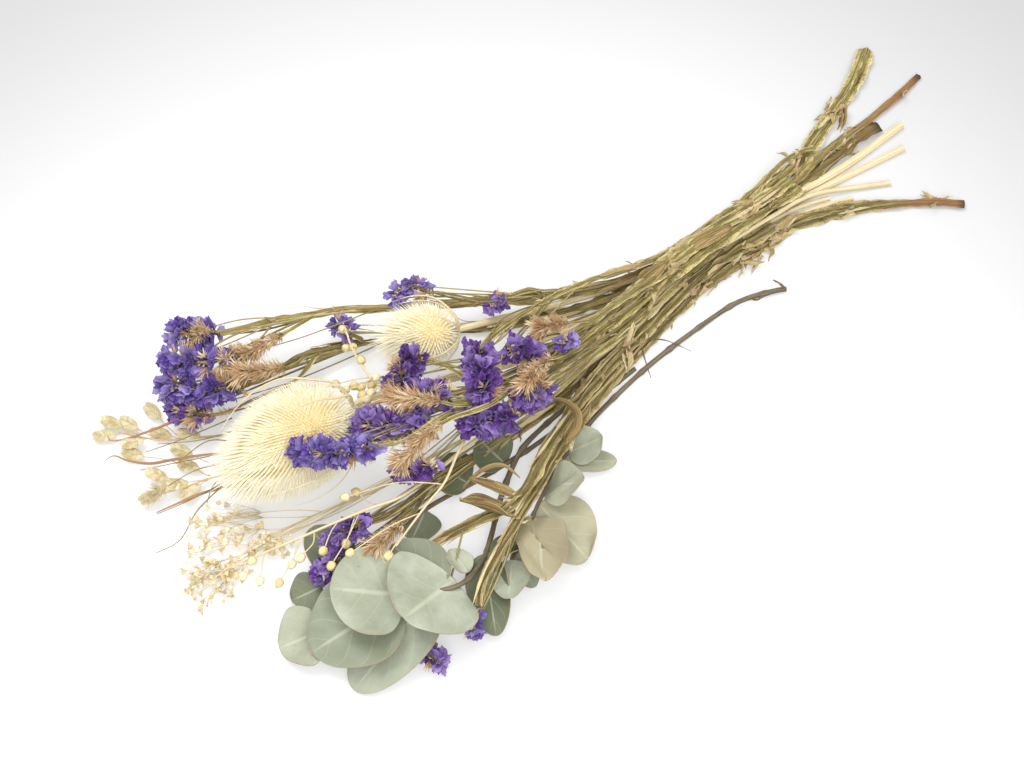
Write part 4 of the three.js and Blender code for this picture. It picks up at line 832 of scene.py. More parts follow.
def wingedStem(line, width, seed, bare=0.0):
    rng = np.random.default_rng(seed)
    rule = staticeStem
    wings, spread = rule["wings"], rule["wingHalfAngle"]
    length = len(line) * rule["rowSpacing"]
    spin = rng.random() * 0.8 - 0.4
    angles, wing = [], []  # round the stem, and which wing's edge stands at each angle
    for n in range(wings):
        middle = 2 * math.pi * n / wings
        angles += [middle - spread, middle, middle + spread]
        angles += [middle + 2 * math.pi / wings * share for share in (0.32, 0.5, 0.68)]
        wing += [-1, n, -1, -1, -1, -1]
    angles = np.array([*angles, angles[0] + 2 * math.pi])
    wing = np.array([*wing, wing[0]])
    shifts = rng.random(wings) * 50

    def offsets(u, v):
        k = np.rint(u * (len(angles) - 1)).astype(int)
        far = v * length / 10
        half = widthAt(width, v)
        if bare:  # near its cut end the stem has lost its wings
            half = half * (1 - rule["bareLoss"] * np.clip(2 - 2 * v / bare, 0, 1))
        angle = angles[k] + spin + 0.5 * ripple(far * 0.12, seed)
        core = half * rule["coreShare"] * (1 + rule["ribDepth"] * np.cos(rule["ribs"] * angles[k]))
        core = core * (1 + 0.06 * ripple(far * 0.9, seed + 3))
        r = core.copy()
        for n in range(wings):
            wave = ripple(far * 0.55 + shifts[n], seed + 7 * n)
            nick = ripple(far * 2.6 + shifts[n], seed + 9 * n)
            out = half * (rule["wingReach"][n % 2] + 0.22 * wave + 0.1 * nick)
            on = wing[k] == n
            r = np.where(on, np.maximum(core * 1.05, out), r)
            angle = np.where(on, angle + 0.32 * ripple(far * 1.3 + shifts[n], seed + 11 * n), angle)
        return r * np.cos(-angle), r * np.sin(-angle) * rule["flatness"]

    return sweep(line, offsets, len(angles) - 1)


def peeling(line, width, seed, start, reach):
    # a strip of wing that has come loose: it runs along the stem and curls away at its end
    rng = np.random.default_rng(seed)
    side, lift, _ = framesOf(line)
    rows = np.arange(len(line))
    step = np.linalg.norm(line[1] - line[0])
    angle = anyAngle(rng)
    half = 0.4 + 1.1 * rng.random()
    rise = 0.15 + 0.5 * rng.random()
    curl = rng.random() ** 2 * 5
    drift = rng.normal() * 0.5
    phase = anyAngle(rng)

    def rule(u, v):
        row = np.clip(start + v * reach / step, 0, len(line) - 1)
        at, across, above = (np.stack([np.interp(row, rows, found[:, k]) for k in range(3)], 1)
                             for found in (line, side, lift))
        turn = angle + drift * v + 0.12 * np.sin(5 * v + phase)
        out = across * np.cos(turn)[:, None] + above * np.sin(turn)[:, None]
        tangent = above * np.cos(turn)[:, None] - across * np.sin(turn)[:, None]
        r = width * (0.9 - 0.1 * np.abs(np.sin(turn))) + rise
        r = r + curl * np.maximum(0, v - 0.7) ** 2 * 11 + 0.25 * np.sin(9 * v + phase)
        a = (2 * u - 1) * half * (1 - np.abs(2 * v - 1) ** 5) * (1 + 0.25 * np.sin(13 * v + phase))
        spot = at + out * r[:, None] + tangent * a[:, None]
        spot[:, 2] = np.maximum(spot[:, 2], 0.3)
        return spot

    return thicken(sheetOf(rule, 2, max(6, int(reach / 4)), close=False), staticeStem["stripThickness"])


def chords(line, steps):
    return np.array([pointAt(line, n / steps) for n in range(steps + 1)])


def footOn(line, steps, start, lift):
    # where a leaf leaves its stem: on the axis of the solid's stem, nearest to a place
    axis = chords(chords(line, steps), 400)
    foot = axis[np.argmin(np.linalg.norm(axis - place(start), axis=1))].copy()
    foot[2] += lift
    return foot


leafRule = {"across": 16, "along": 24, "thickness": 0.6, "eggShape": 0.16, "midrib": 0.35}


def bladeLeaf(foot, tip, width, roll, cup, seed, wave=0.7, notch=0.0, curl=0.0, crease=0.0):
    # a leaf: an egg-shaped sheet that is cupped, waved at its edge and raised along its midrib
    rng = np.random.default_rng(seed)
    way = place(tip) - foot
    length = np.linalg.norm(way)
    way = unit(way)
    face = unit(up - way * up.dot(way))
    face = np.array(Matrix.Rotation(math.radians(roll), 3, Vector(way)) @ Vector(face))
    side = np.cross(face, way)
    phase = anyAngle(rng, 4)

    def rule(u, v):
        a = np.sin(math.pi / 2 * (2 * u - 1))
        z = np.sin(math.pi / 2 * (2 * v - 1))
        half = np.sqrt(np.maximum(0, 1 - z * z))
        x = a * half * (1 - leafRule["eggShape"] * z)
        near = a * a * (1 - z * z) + z * z
        dip = cup * x * x - 0.25 * cup * z * z - 0.5 * cup * (1 - near)
        angle = np.arctan2(a * half, z)
        waves = np.sin(3 * angle + phase[0]) + 0.6 * np.sin(5 * angle + phase[1])
        dip = dip + wave * near**2 * waves * np.abs(a)
        dip = dip + 0.25 * wave * np.sin(9 * x + phase[2]) * np.sin(7 * z + phase[3])
        dip = dip + leafRule["midrib"] * np.exp(-(x / 0.05) ** 2) + curl * (x * np.abs(x))
        dip = dip + crease * (1 - z * z) * np.exp(-((x - 0.35 * np.sin(2.6 * z)) / 0.24) ** 2)
        stretch = 1 + 0.02 * np.sin(4 * angle + phase[3])
        reach = (z + 1) / 2 * length + notch * np.exp(-((z + 1) / 0.25) ** 2) * np.exp(-(a / 0.3) ** 2)
        return foot + way * reach[:, None] + side * (x * width / 2 * stretch)[:, None] + face * dip[:, None]

    sheet = sheetOf(rule, leafRule["across"], leafRule["along"], close=False)
    return thicken(sheet, leafRule["thickness"], markRim=True)


def rolledLeaf(piece, way, reach, flat, tint, look):
    # a long thin leaf that has rolled up as it dried
    def offsets(u, v):
        angle = -2 * math.pi * u
        r = reach * np.sin(math.pi * np.clip(v * 0.96 + 0.02, 0, 1)) ** 0.8 + 0.15
        return r * np.cos(angle) * (1 + 0.4 * np.cos(angle)), flat * r * np.sin(angle)

    stick(piece, sweep(traced(way, 2), offsets, 8), tint, look)


def brush(piece, line, share, seed, spacing=2.0, each=4, size=1.55):
    # husks in close whorls along the last part of a branch
    rng = np.random.default_rng(seed)
    fine = smoothLine(line, spacing)
    side, lift, along = framesOf(fine)
    start = int(len(fine) * (1 - share))
    places = [[] for _ in husks]
    for n in range(start, len(fine)):
        for k in range(each):
            angle = n * 2.4 + 2 * math.pi * k / each + 0.5 * rng.random()
            out = outward(side[n], lift[n], angle)
            way = unit(along[n] + out * (0.35 + 0.9 * rng.random()))
            s = size * (0.75 + 0.45 * rng.random()) * (0.55 + 0.55 * (n - start) / max(1, len(fine) - start))
            places[rng.integers(len(husks))].append(
                (turnedTo(fine[n] + out * 0.6, way, (s, s, s), anyAngle(rng)), rng.random()))
    strew(piece, husks, places)


def tatterPlaces():
    # which stem lies on top at each tattered place, as seen by the camera: {stem: [(share, size)]}
    eye = viewpoint()
    found = {}
    for across, down, size in tatters:
        ray = unit(place((across, down, 0)) - eye)
        best = None
        for name in staticeStems:
            line = strandsOf[name][0]["points"]
            away = line - eye
            near = away @ ray
            off = np.linalg.norm(away - near[:, None] * ray, axis=1)
            k = int(np.argmin(off))
            if off[k] < 7 and (best is None or near[k] < best[0]):
                best = (near[k], name, k / (len(line) - 1), size)
        if best:
            found.setdefault(best[1], []).append(best[2:])
    return found


def tatter(piece, line, width, tattered, rng):
    # torn wings and short stubs at the nodes, and more of them where the photograph shows it tattered
    side, lift, along = framesOf(line)
    length = len(line) * staticeStem["rowSpacing"]
    low, high = staticeStem["nodeSpacing"]
    places = [[] for _ in scraps]
    nodes = [(share * length, size * 1.3, 9) for share, size in tattered]
    at = 12 + 20 * rng.random()
    while at < length - 12:
        nodes.append((at, 1, rng.integers(3, 7)))
        at += low + (high - low) * rng.random()
    for at, big, many in nodes:
        k = min(len(line) - 1, int(at / staticeStem["rowSpacing"]))
        half = float(widthAt(width, k / len(line)))
        for _ in range(many):
            angle = anyAngle(rng)
            out = outward(side[k], lift[k], angle, 0.7)
            way = unit(along[k] * (1 if rng.random() < 0.7 else -1) + out * (0.2 + 0.8 * rng.random()))
            s = big * (0.4 + 0.7 * rng.random()) * half / 4.0
            root = line[k] + out * half * 0.6 + along[k] * rng.normal() * 2.5 * big
            places[rng.integers(len(scraps))].append(
                (turnedTo(root, way, (s, s, s), anyAngle(rng)), rng.random()))
    strew(piece, scraps, places)


def makeStaticeStems():
    tattered = tatterPlaces()
    rows, (least, more) = staticeStem["rowSpacing"], staticeStem["stripReach"]
    for n, name in enumerate(staticeStems):
        piece = bmesh.new()
        rng = np.random.default_rng(100 + n)
        main, *branches = strandsOf[name]
        line = smoothLine(main["points"], rows)
        bare = browned.get(name)
        stick(piece, wingedStem(line, main["width"], 10 * n + 1, bare or 0), 0.05 + 0.28 * rng.random(),
              0 if bare is None else 4)
        tatter(piece, line, main["width"], tattered.get(name, []), rng)
        for k in range(int(len(line) * rows / staticeStem["stripEvery"])):
            start = int((len(line) - 12) * rng.random())
            reach = min(least + more * rng.random(), (len(line) - 1 - start) * rows)
            half = float(widthAt(main["width"], start / len(line)))
            stick(piece, peeling(line, half, 4000 + 50 * n + k, start, reach), rng.random(), 1)
        for k, branch in enumerate(branches):
            way = smoothLine(branch["points"], rows)
            thick, thin = branch["width"]
            tube = wingedStem(way, (thick * 0.95, thin * 0.85), 10 * n + 3 * k + 50)
            stick(piece, tube, 0.45 * rng.random())
            reach = np.linalg.norm(np.diff(way, axis=0), axis=1).sum()
            if branch["whorls"]:
                share = min(0.9, branch["whorls"] * staticeStem["whorlLength"] / reach)
                brush(piece, way, share, 300 + 10 * n + k)
            else:
                brush(piece, way, 0.25, 300 + 10 * n + k, spacing=3.0, each=2, size=0.8)
        steps = round(len(main["points"]) / 7)
        for k, (start, raised, tip, width, roll, cup) in enumerate(dryLeaves.get(name, [])):
            foot = footOn(main["points"], steps, start, raised)
            leaf = bladeLeaf(foot, tip, width, roll, cup, 500 + 10 * n + k, wave=1.4, curl=3.0)
            stick(piece, leaf, 0.4, 3)
        if name in straps:
            reach, way = straps[name]
            rolledLeaf(piece, way, reach, 0.14, 0.35, 3)
        end = shadedStubBark if bare == 0 else shadedStems.get(name, brownedBark)
        looks = [shadedStems.get(name, staticeBark), tornWing, calyxPaper, dryLeaf, end]
        finishPiece(name, "winged", piece, looks)


makeStaticeStems()


# Statice blooms: florets packed round a line, each a pleated funnel with a ruffled rim

bloomRule = {"spacing": 5.6, "patterns": 10, "strays": 0.07, "mouth": 0.48, "branchlets": 6,
             "faded": (1, 2, 3, 7, 13, 14, 15, 19)}
goldenAngle = 2.39996
# Tufts of bare husks in the blooms: their place in the photograph and their reach in mm
tufts = [(193, 337, 8), (233, 343, 7), (228, 370, 7), (190, 415, 6), (385, 362, 9), (396, 401, 9),
         (528, 374, 8), (425, 296, 8), (549, 383, 6), (412, 450, 9), (505, 395, 6), (350, 470, 5),
         (560, 330, 6), (448, 384, 5)]


def floretPattern(seed):
    # one unit long and pressed flat; the outside runs up to the rim, and the inside back down
    rng = np.random.default_rng(seed)
    phase = anyAngle(rng, 6)
    flat = 0.5 + 0.35 * rng.random()

    def rule(u, v):
        angle = 2 * math.pi * u
        outer = v <= 0.667
        s = np.clip(np.where(outer, v * 1.5, (1 - v) * 3), 0, 1)
        flare = 0.06 + (bloomRule["mouth"] - 0.06) * s**1.35
        ruffle = 0.12 * s * np.sin(10 * angle + phase[0])
        r = flare * (1 + ruffle + 0.17 * s**2 * np.sin(3 * angle + phase[1]))
        z = s * 0.92 + s**3 * (0.1 * np.sin(4 * angle + phase[2]) + 0.06 * np.sin(10 * angle + phase[3]))
        r = np.where(outer, r, r * 0.94 - 0.012)
        z = np.where(outer, z, z + 0.018)
        r = np.where(v >= 0.999, 0, r)
        bend = 0.16 * s * s
        return np.stack((r * np.cos(angle) * 1.25 + bend * np.cos(phase[4]),
                         r * np.sin(angle) * flat + bend * np.sin(phase[4]), z), 1)

    return patternOf(sheetOf(rule, 25, 6))


florets = [floretPattern(seed) for seed in range(bloomRule["patterns"])]
calyxes = [calyxPattern()] * 2


def branchlets(piece, main, line, rng):
    # thin side branches: each leaves the stem well before the bloom and runs beside it
    step = np.linalg.norm(main[1] - main[0])
    for _ in range(bloomRule["branchlets"]):
        goal = line[int(rng.random() * len(line))] + rng.normal(size=3) * 1.5
        near = int(np.argmin(np.linalg.norm(main - goal, axis=1)))
        root = main[max(0, near - int((35 + 80 * rng.random()) / step))]
        middle = (root + goal) / 2 + rng.normal(size=3) * min(2.2, 0.04 * np.linalg.norm(goal - root))
        curve = smoothLine([root, middle, goal], 4)
        curve[:, 2] = np.maximum(curve[:, 2], 0.9)
        thick = 0.45 + 0.4 * rng.random()
        stick(piece, roundStalk(curve, lambda v: thick * (1.1 - 0.5 * v), 5), rng.random(), 3)


def makeBlooms():
    for number, (stem, way, core, floret) in blooms.items():
        piece = bmesh.new()
        rng = np.random.default_rng(700 + number)
        line = traced(way, 1.0)
        side, lift, along = framesOf(line)
        length = len(line) - 1
        stick(piece, roundStalk(line, lambda v: 0.28 * core * (1.1 - 0.5 * v)), 0.4, 1)
        radius = core + 0.45 * floret
        count = int((length + 1.1 * radius) * 2 * math.pi * radius * 0.86 / bloomRule["spacing"] ** 2)
        flowers, cups, dry = ([[] for _ in patterns] for patterns in (florets, calyxes, husks))
        for k in range(count):
            share = (k + 0.5) / count
            far = -0.25 * radius + share * (length + 0.75 * radius)
            row = int(round(min(1, max(0, far / length)) * length))
            angle = goldenAngle * k + 0.5 * rng.random()
            out = outward(side[row], lift[row], angle)
            over = max(0, far - length) / radius
            under = max(0, -far) / radius
            aim = unit(out * (1 - 0.75 * over - 0.3 * under) + along[row] * (0.5 + 1.6 * over - 1.2 * under)
                       + rng.normal(size=3) * 0.34)
            root = line[row] + aim * core * 0.25
            reach = (core * 0.8 + floret * (0.62 + 0.2 * rng.random())) * (0.82 + 0.18 * min(1, share * 3))
            roll = anyAngle(rng)
            tip = root + aim * reach
            bare = any(np.linalg.norm(tip - place((x, y, tip[2]))) < size for x, y, size in tufts)
            if bare or rng.random() < bloomRule["strays"]:
                for _ in range(3 if bare else 1):
                    s = 1.0 + 0.5 * rng.random()
                    lean = unit(aim + rng.normal(size=3) * 0.35)
                    dry[rng.integers(len(husks))].append(
                        (turnedTo(root + lean * 0.35 * reach, lean, (s, s, s), roll), rng.random()))
                continue
            wide = floret * (0.95 + 0.25 * rng.random())
            flowers[rng.integers(len(florets))].append(
                (turnedTo(root, aim, (wide, wide, reach), roll), rng.random()))
            cups[rng.integers(len(calyxes))].append(
                (turnedTo(root - aim * 0.5, aim, (0.8, 0.8, reach / 15), roll), rng.random()))
        strew(piece, florets + calyxes + husks, flowers + cups + dry)
        branchlets(piece, strandsOf[f"statice_stem_{stem}"][0]["points"], line, rng)
        petal = bluePaper if number in bloomRule["faded"] else petalPaper
        finishPiece(f"statice_bloom_{number}", "florets", piece, [petal, calyxPaper, calyxPaper, staticeBark])


makeBlooms()


# Teasel heads: spines in crossing spirals on an egg-shaped core

teaselRule = {"spacing": 2.3, "rootWidth": 0.72, "strays": 0.05, "strayReach": 1.25, "coreShare": 0.93}
# The bracts round a head: angle, how far along the head it reaches, and thickness. The first four are
# the long ones of the solid, and "room" is the way from the spines to the middle of a bract in mm.
bractRule = {"room": 2.2, "radius": 1.15,
             "turns": [(0.5, 0.9, 1.0), (1.6, 0.6, 1.0), (2.8, 0.9, 1.0), (4.6, 0.6, 1.0), (1.05, 0.8, 0.6),
                       (2.2, 0.5, 0.6), (3.6, 0.7, 0.6), (5.4, 0.85, 0.6), (0.1, 0.45, 0.6)]}


def spinePattern(bend):
    # a spine one unit long: broad at its root, then a stiff hair
    def rule(u, v):
        angle = 2 * math.pi * u
        r = 1.0 * (1 - v) ** 2.6 + 0.4 * (1 - v) ** 0.55
        r = np.where(v >= 0.999, 0.0, r)
        return np.stack((r * np.cos(angle) + bend * 3.0 * v * v, 0.7 * r * np.sin(angle), v), 1)

    return patternOf(sheetOf(rule, 4, 5), 0.5, 1)


def spineReach(head, t):
    return head["side"] + (head["point"] - head["side"]) * t**3


def teaselHead(size, head):
    piece = bmesh.new()
    rng = np.random.default_rng(40 + len(size))
    base, tip = place(head["base"]), place(head["tip"])
    length = np.linalg.norm(tip - base)
    line = base + (tip - base) * np.linspace(0, 1, 41)[:, None]
    side, lift, along = (v[0] for v in framesOf(line[[0, 40]]))
    stick(piece, roundStalk(line, lambda v: teaselRadius(head, v) * teaselRule["coreShare"], 40), 0.5, 0)
    patterns = [spinePattern(bend) for bend in (-0.18, 0.0, 0.12, 0.24)]
    places = [[] for _ in patterns]
    # equal shares of the head's surface, so that the spines stand evenly
    rows = np.linspace(0.004, 0.996, 400)
    radii = teaselRadius(head, rows)
    total = np.cumsum(2 * math.pi * radii * np.hypot(length / 400, np.gradient(radii)))
    count = int(total[-1] / (teaselRule["spacing"] ** 2 * 0.87))
    for k in range(count):
        t = float(np.interp((k + 0.5) / count * total[-1], total, rows))
        r = float(teaselRadius(head, t))
        out = outward(side, lift, goldenAngle * k)
        at = base + along * t * length + out * r * 0.92
        slope = float(teaselRadius(head, t + 0.02) - teaselRadius(head, t - 0.02)) / (0.04 * length)
        way = unit(unit(out - along * slope) + along * (0.25 + 0.7 * t**2) + rng.normal(size=3) * 0.03)
        spine = head["side"] * (1.2 + 0.2 * rng.random()) + (head["point"] - head["side"]) * 1.15 * t**3
        if rng.random() < teaselRule["strays"]:
            spine *= teaselRule["strayReach"]
        w = teaselRule["rootWidth"] * (0.9 + 0.2 * rng.random())
        w = w * (0.75 + 0.25 * min(1, r / head["radius"] * 1.3))
        places[rng.integers(len(patterns))].append(
            (turnedTo(at, way, (w, w, spine), anyAngle(rng)), 0.25 + 0.6 * rng.random()))
    strew(piece, patterns, places)
    finishPiece(f"teasel_head_{size}", "spines", piece, [teaselCore, teaselStraw])


def teaselStem(size, head):
    name = f"teasel_stem_{size}"
    stem = strandsOf[name][0]
    piece = bmesh.new()
    line = smoothLine(stem["points"], 3)
    far = len(line) * 3 / 10

    def offsets(u, v):
        angle = -2 * math.pi * u
        ribs = 1 + 0.07 * np.cos(9 * angle) + 0.05 * ripple(v * far * 0.5, 5)
        r = widthAt(stem["width"], v) * 0.92 * ribs
        return r * np.cos(angle), r * np.sin(angle)

    stick(piece, sweep(line, offsets, 27), 0.6)
    base, tip = place(head["base"]), place(head["tip"])
    side, lift, along = (v[0] for v in framesOf(np.array([base, tip])))
    length = np.linalg.norm(tip - base)
    for n, (angle, farther, thick) in enumerate(bractRule["turns"]):
        out = outward(side, lift, angle)
        places = [(-0.08, 0), (-0.06, 0.55 * head["radius"])]
        for t in (share * farther for share in (0.12, 0.34, 0.58, 0.8, 1)):
            places.append((t, teaselRadius(head, t) + spineReach(head, t) + bractRule["room"]))
        curve = smoothLine([base + along * t * length + out * r for t, r in places], 2)
        curve[:, 2] = np.maximum(curve[:, 2], 0.8)
        stalk = roundStalk(curve, lambda v: (bractRule["radius"] - 0.95 * v**0.8) * thick)
        stick(piece, stalk, 0.55 + 0.05 * n)
    finishPiece(name, "bracts", piece, [bleachedStraw])


for size, head in teasels.items():
    teaselHead(size, head)
    teaselStem(size, head)


# Eucalyptus branches

eucalyptusRule = {"stemShare": 0.8, "nodeSpacing": 2.6, "nodeSwell": 0.28, "notch": 1.5}
# Leaves that differ, by number: age from 0 to 1 (beige towards 1, and dark green towards 0, partly a young
# leaf's colour and partly painted shade for leaves that lie in shadow), waviness, fold along the midrib in
# mm, and the height of a crease that winds along it
leafForms = {
    "eucalyptus_branch_1": {0: (0.55, 1.4, 3.0, 0), 1: (0.62, 0.8, -2.0, 0), 2: (0.6, 1.6, 7.0, 2.0),
                            3: (0.8, 2.4, -4.0, -2.5), 4: (0.95, 3.4, 11.0, 5.0), 5: (0.4, 0.9, 1.5, 0),
                            6: (0.25, 0.8, 0.0, 0), 7: (0.0, 0.8, 1.5, 0)},
    "eucalyptus_branch_2": {0: (0.5, 1.1, -2.0, 0), 1: (0.45, 1.1, 1.5, 0), 5: (0.15, 0.8, 1.0, 0)},
    "eucalyptus_branch_3": {0: (0.1, 0.9, 1.0, 0), 1: (0.1, 0.8, 1.0, 0), 2: (0.0, 0.9, 1.0, 0),
                            3: (0.0, 0.9, 1.0, 0)},
}
# Short bare twigs: their radius in mm and the places they pass
twiglets = {
    "eucalyptus_branch_1": [
        (1.1, [(786, 289, 8), (779, 283, 9), (773, 280, 10)]),
        (1.0, [(763, 296, 7), (757, 300, 6), (752, 299, 5)]),
        (0.55, [(642, 340, 8), (643, 352, 6), (647, 366, 3), (651, 378, 1)]),
        (0.55, [(641, 340, 8), (655, 339, 7), (668, 341, 6), (682, 347, 3), (691, 351, 1)])],
}


def makeEucalyptus():
    for n, (name, leafList) in enumerate(leaves.items()):
        strand = strandsOf[name][0]
        piece = bmesh.new()
        rng = np.random.default_rng(900 + n)
        line = smoothLine(strand["points"], 2.5)
        far = len(line) * 0.25
        nodes = np.arange(1.5, far, eucalyptusRule["nodeSpacing"])

        def offsets(u, v):
            angle = -2 * math.pi * u
            swell = sum(eucalyptusRule["nodeSwell"] * np.exp(-((v * far - at) / 0.22) ** 2) for at in nodes)
            r = widthAt(strand["width"], v) * eucalyptusRule["stemShare"]
            r = r * (1 + 0.07 * ripple(v * far, 60 + n) + swell)
            return r * np.cos(angle), r * np.sin(angle)

        stick(piece, sweep(line, offsets, 12), 0.4)
        for radius, way in twiglets.get(name, []):
            def knobbly(v):
                return radius * (1.05 - 0.6 * v) * (1 + 0.2 * np.sin(19 * v))

            stick(piece, roundStalk(traced(way, 2), knobbly), 0.3)
        steps = round(len(strand["points"]) / 6)
        for k, (start, raised, tip, width, roll, cup) in enumerate(leafList):
            foot = footOn(strand["points"], steps, start, raised)
            ageAndShade, wavy, fold, crease = leafForms[name].get(k, (0.65 * rng.random(), 1.0, 0.0, 0))
            wave = wavy * (0.016 * width + 0.25)
            leaf = bladeLeaf(foot, tip, width, roll, cup, 920 + 20 * n + k, wave=wave,
                             notch=eucalyptusRule["notch"], curl=fold, crease=crease)
            stick(piece, leaf, ageAndShade, 1)
        finishPiece(name, "leaves", piece, [twigBark, eucalyptusSkin])


makeEucalyptus()


# Sprays: flax bolls, broom heads and grass spikelets on thin stalks

grassRule = {"length": 15, "width": 7.5, "glumes": 12, "hairs": 26, "hair": 5.0}
broomRule = {"tuft": 10, "spread": 5.0, "head": 3.0, "cup": 4.6}
bollWidth, bollLength = 5.4, 5.8
# Rolled grass leaves, and then thin dark stalks without a head: the places they pass
curls = {
    "grass_spray_1": [[(262, 404, 12), (218, 415, 14), (186, 418, 13), (156, 429, 11), (130, 438, 9),
                       (112, 441, 8), (107, 435, 9)]],
    "grass_spray_2": [[(236, 452, 12), (206, 455, 12), (174, 460, 10), (150, 464, 8), (128, 461, 7),
                       (114, 456, 7), (105, 461, 6)],
                      [(262, 478, 12), (228, 487, 10), (202, 494, 8), (170, 507, 6), (156, 513, 4)]],
}
wisps = {
    "broom_spray_1": [[(222, 486, 10), (197, 511, 8), (180, 540, 6), (156, 553, 3)]],
    "grass_spray_1": [[(232, 418, 18), (180, 440, 12), (146, 452, 9)],
                      [(236, 430, 16), (200, 440, 12), (158, 444, 9)]],
    "grass_spray_2": [[(240, 450, 14), (180, 462, 10), (140, 470, 7)],
                      [(236, 476, 12), (190, 500, 8), (157, 514, 4)],
                      [(226, 440, 20), (205, 442, 16), (176, 464, 9)],
                      [(230, 462, 16), (196, 470, 12), (168, 486, 10)],
                      [(228, 470, 12), (213, 486, 14), (207, 503, 16)]],
}
downyHead = {"spray": "grass_spray_2", "from": (166, 486, 10), "to": (148, 497, 9), "hairs": 240,
             "reach": 9.5}
sprayFinish = {"flax": (flaxBoll, "flax_boll"), "grass": (grassHusk, "grass_spikelet"),
               "broom": (broomStraw, "broom_bloom")}


def hanging(line, spots, rule, seed):
    # where each hanger leaves the spray and where it ends: as in the solids, by the same dice
    roll = dice(seed)
    samples = chords(line, 120)
    length = np.linalg.norm(line[1] - line[0]) * (len(line) - 1)
    found = []
    for spot in spots:
        rise = tuftHeight * (roll() - 0.5)
        near = len(samples) - 1
        for _ in range(3):
            at = place((*spot, max(lowest, samples[near][2] + rise)))
            near = int(np.argmin(np.linalg.norm(samples - at, axis=1)))
        back = max(rule["lead"] * np.linalg.norm(at - samples[near]), rule["body"] + 2)
        root = pointAt(line, max(0, near / 120 - back / length))
        at = at + unit(at - root) * rule["body"] / 2
        at[2] = max(at[2], lowest)
        found.append((root, at))
    return found


def bollPattern():
    # a flax boll: a ribbed ball with a small point
    def rule(u, v):
        angle = 2 * math.pi * u
        r = np.sin(math.pi * v**0.92) ** 0.75 * (1 + 0.035 * np.cos(10 * angle))
        z = 0.5 - 0.5 * np.cos(math.pi * v) + 0.12 * np.maximum(0, v - 0.86) / 0.14
        return ringed(np.where((v > 0.001) & (v < 0.999), r * 0.5, 0), angle, z)

    return patternOf(sheetOf(rule, 20, 10), 0.5, 1)


def budPattern():
    # a broom head: a tiny tapered bud
    def rule(u, v):
        angle = 2 * math.pi * u
        r = 0.5 * np.sin(math.pi * v) ** 0.8 * (1 + 0.15 * np.cos(3 * angle)) * (1.15 - 0.3 * v)
        return ringed(np.where((v > 0.001) & (v < 0.999), r, 0), angle, v)

    return patternOf(sheetOf(rule, 6, 5), 0.5, 1)


def glumePattern():
    # a grass glume: a small boat-shaped scale
    def rule(u, v):
        a = 2 * u - 1
        w = np.sin(math.pi * np.minimum(1, v * 0.92 + 0.08)) ** 0.7
        return np.stack((a * w * 0.5, 0.28 * (1 - a * a) * w + 0.06 * v, v), 1)

    return patternOf(thicken(sheetOf(rule, 5, 6, close=False), 0.05), 0.5, 1)


boll, bud, glume, hair = bollPattern(), budPattern(), glumePattern(), spinePattern(0.1)


def spikelet(piece, at, way, rng):
    # an oval spikelet: two rows of overlapping glumes, each glume backed by another
    length, wide = grassRule["length"], grassRule["width"]
    side = unit(np.cross(way, up))
    if abs(np.dot(way, up)) > 0.9:
        side = np.array((1.0, 0, 0))
    places = []
    for k in range(grassRule["glumes"]):
        t = k / grassRule["glumes"]
        edge = side if k % 2 else -side
        spread = 0.45 * math.sin(math.pi * (0.18 + 0.72 * t))
        lean = unit(way + edge * spread)
        normal = unit(np.cross(edge, way)) * (1 if k % 2 else -1)
        size = Matrix.Diagonal((wide * 0.7, wide * 0.55, length * (0.5 - 0.12 * abs(t - 0.35)), 1))
        for facing in (normal, -normal):
            turn = Matrix((edge, facing, lean)).transposed().to_4x4()
            places.append((Matrix.Translation(Vector(at + way * length * t * 0.66)) @ turn @ size,
                           0.2 + 0.7 * rng.random()))
    strew(piece, [glume], [places])


def bowed(root, at, seed, sag=0.12):
    # a stalk's line between two points, slightly bowed
    rng = np.random.default_rng(seed)
    reach = np.linalg.norm(at - root)
    middle = (root + at) / 2 + rng.normal(size=3) * sag * reach * 0.5 + up * sag * reach * 0.4
    middle[2] = max(middle[2], 0.8)
    return smoothLine([root, middle, at], max(1.2, reach / 7))


def broomHeads(piece, root, at, rng):
    # a loose tuft: hair-thin stalks that fork below a head of the solid, each with its own head
    fork = root + (at - root) * 0.6
    stick(piece, roundStalk(bowed(root, fork, int(rng.integers(900))), 0.3, 4))
    heads = []
    for k in range(broomRule["tuft"]):
        off = rng.normal(size=3) * broomRule["spread"] * (0.25 if k == 0 else 1.0)
        end = at + off * np.array((1, 1, 0.6))
        end[2] = max(end[2], 1.6)
        lean = unit(end - fork)
        size = broomRule["head"] * (0.7 + 0.6 * rng.random())
        stick(piece, roundStalk(bowed(fork, end, int(rng.integers(900))), 0.16, 3), 0.6)
        if k % 2:  # an open flower
            cup = broomRule["cup"] * (0.7 + 0.6 * rng.random())
            flower = florets[rng.integers(len(florets))]
            stand = turnedTo(end - lean * cup * 0.4, lean, (cup, cup, cup * 0.8), anyAngle(rng))
            strew(piece, [flower], [[(stand, rng.random())]])
        else:
            wide = size * 0.85
            stand = turnedTo(end - lean * size * 0.3, lean, (wide, wide, size), anyAngle(rng))
            heads.append((stand, rng.random()))
    strew(piece, [bud], [heads])


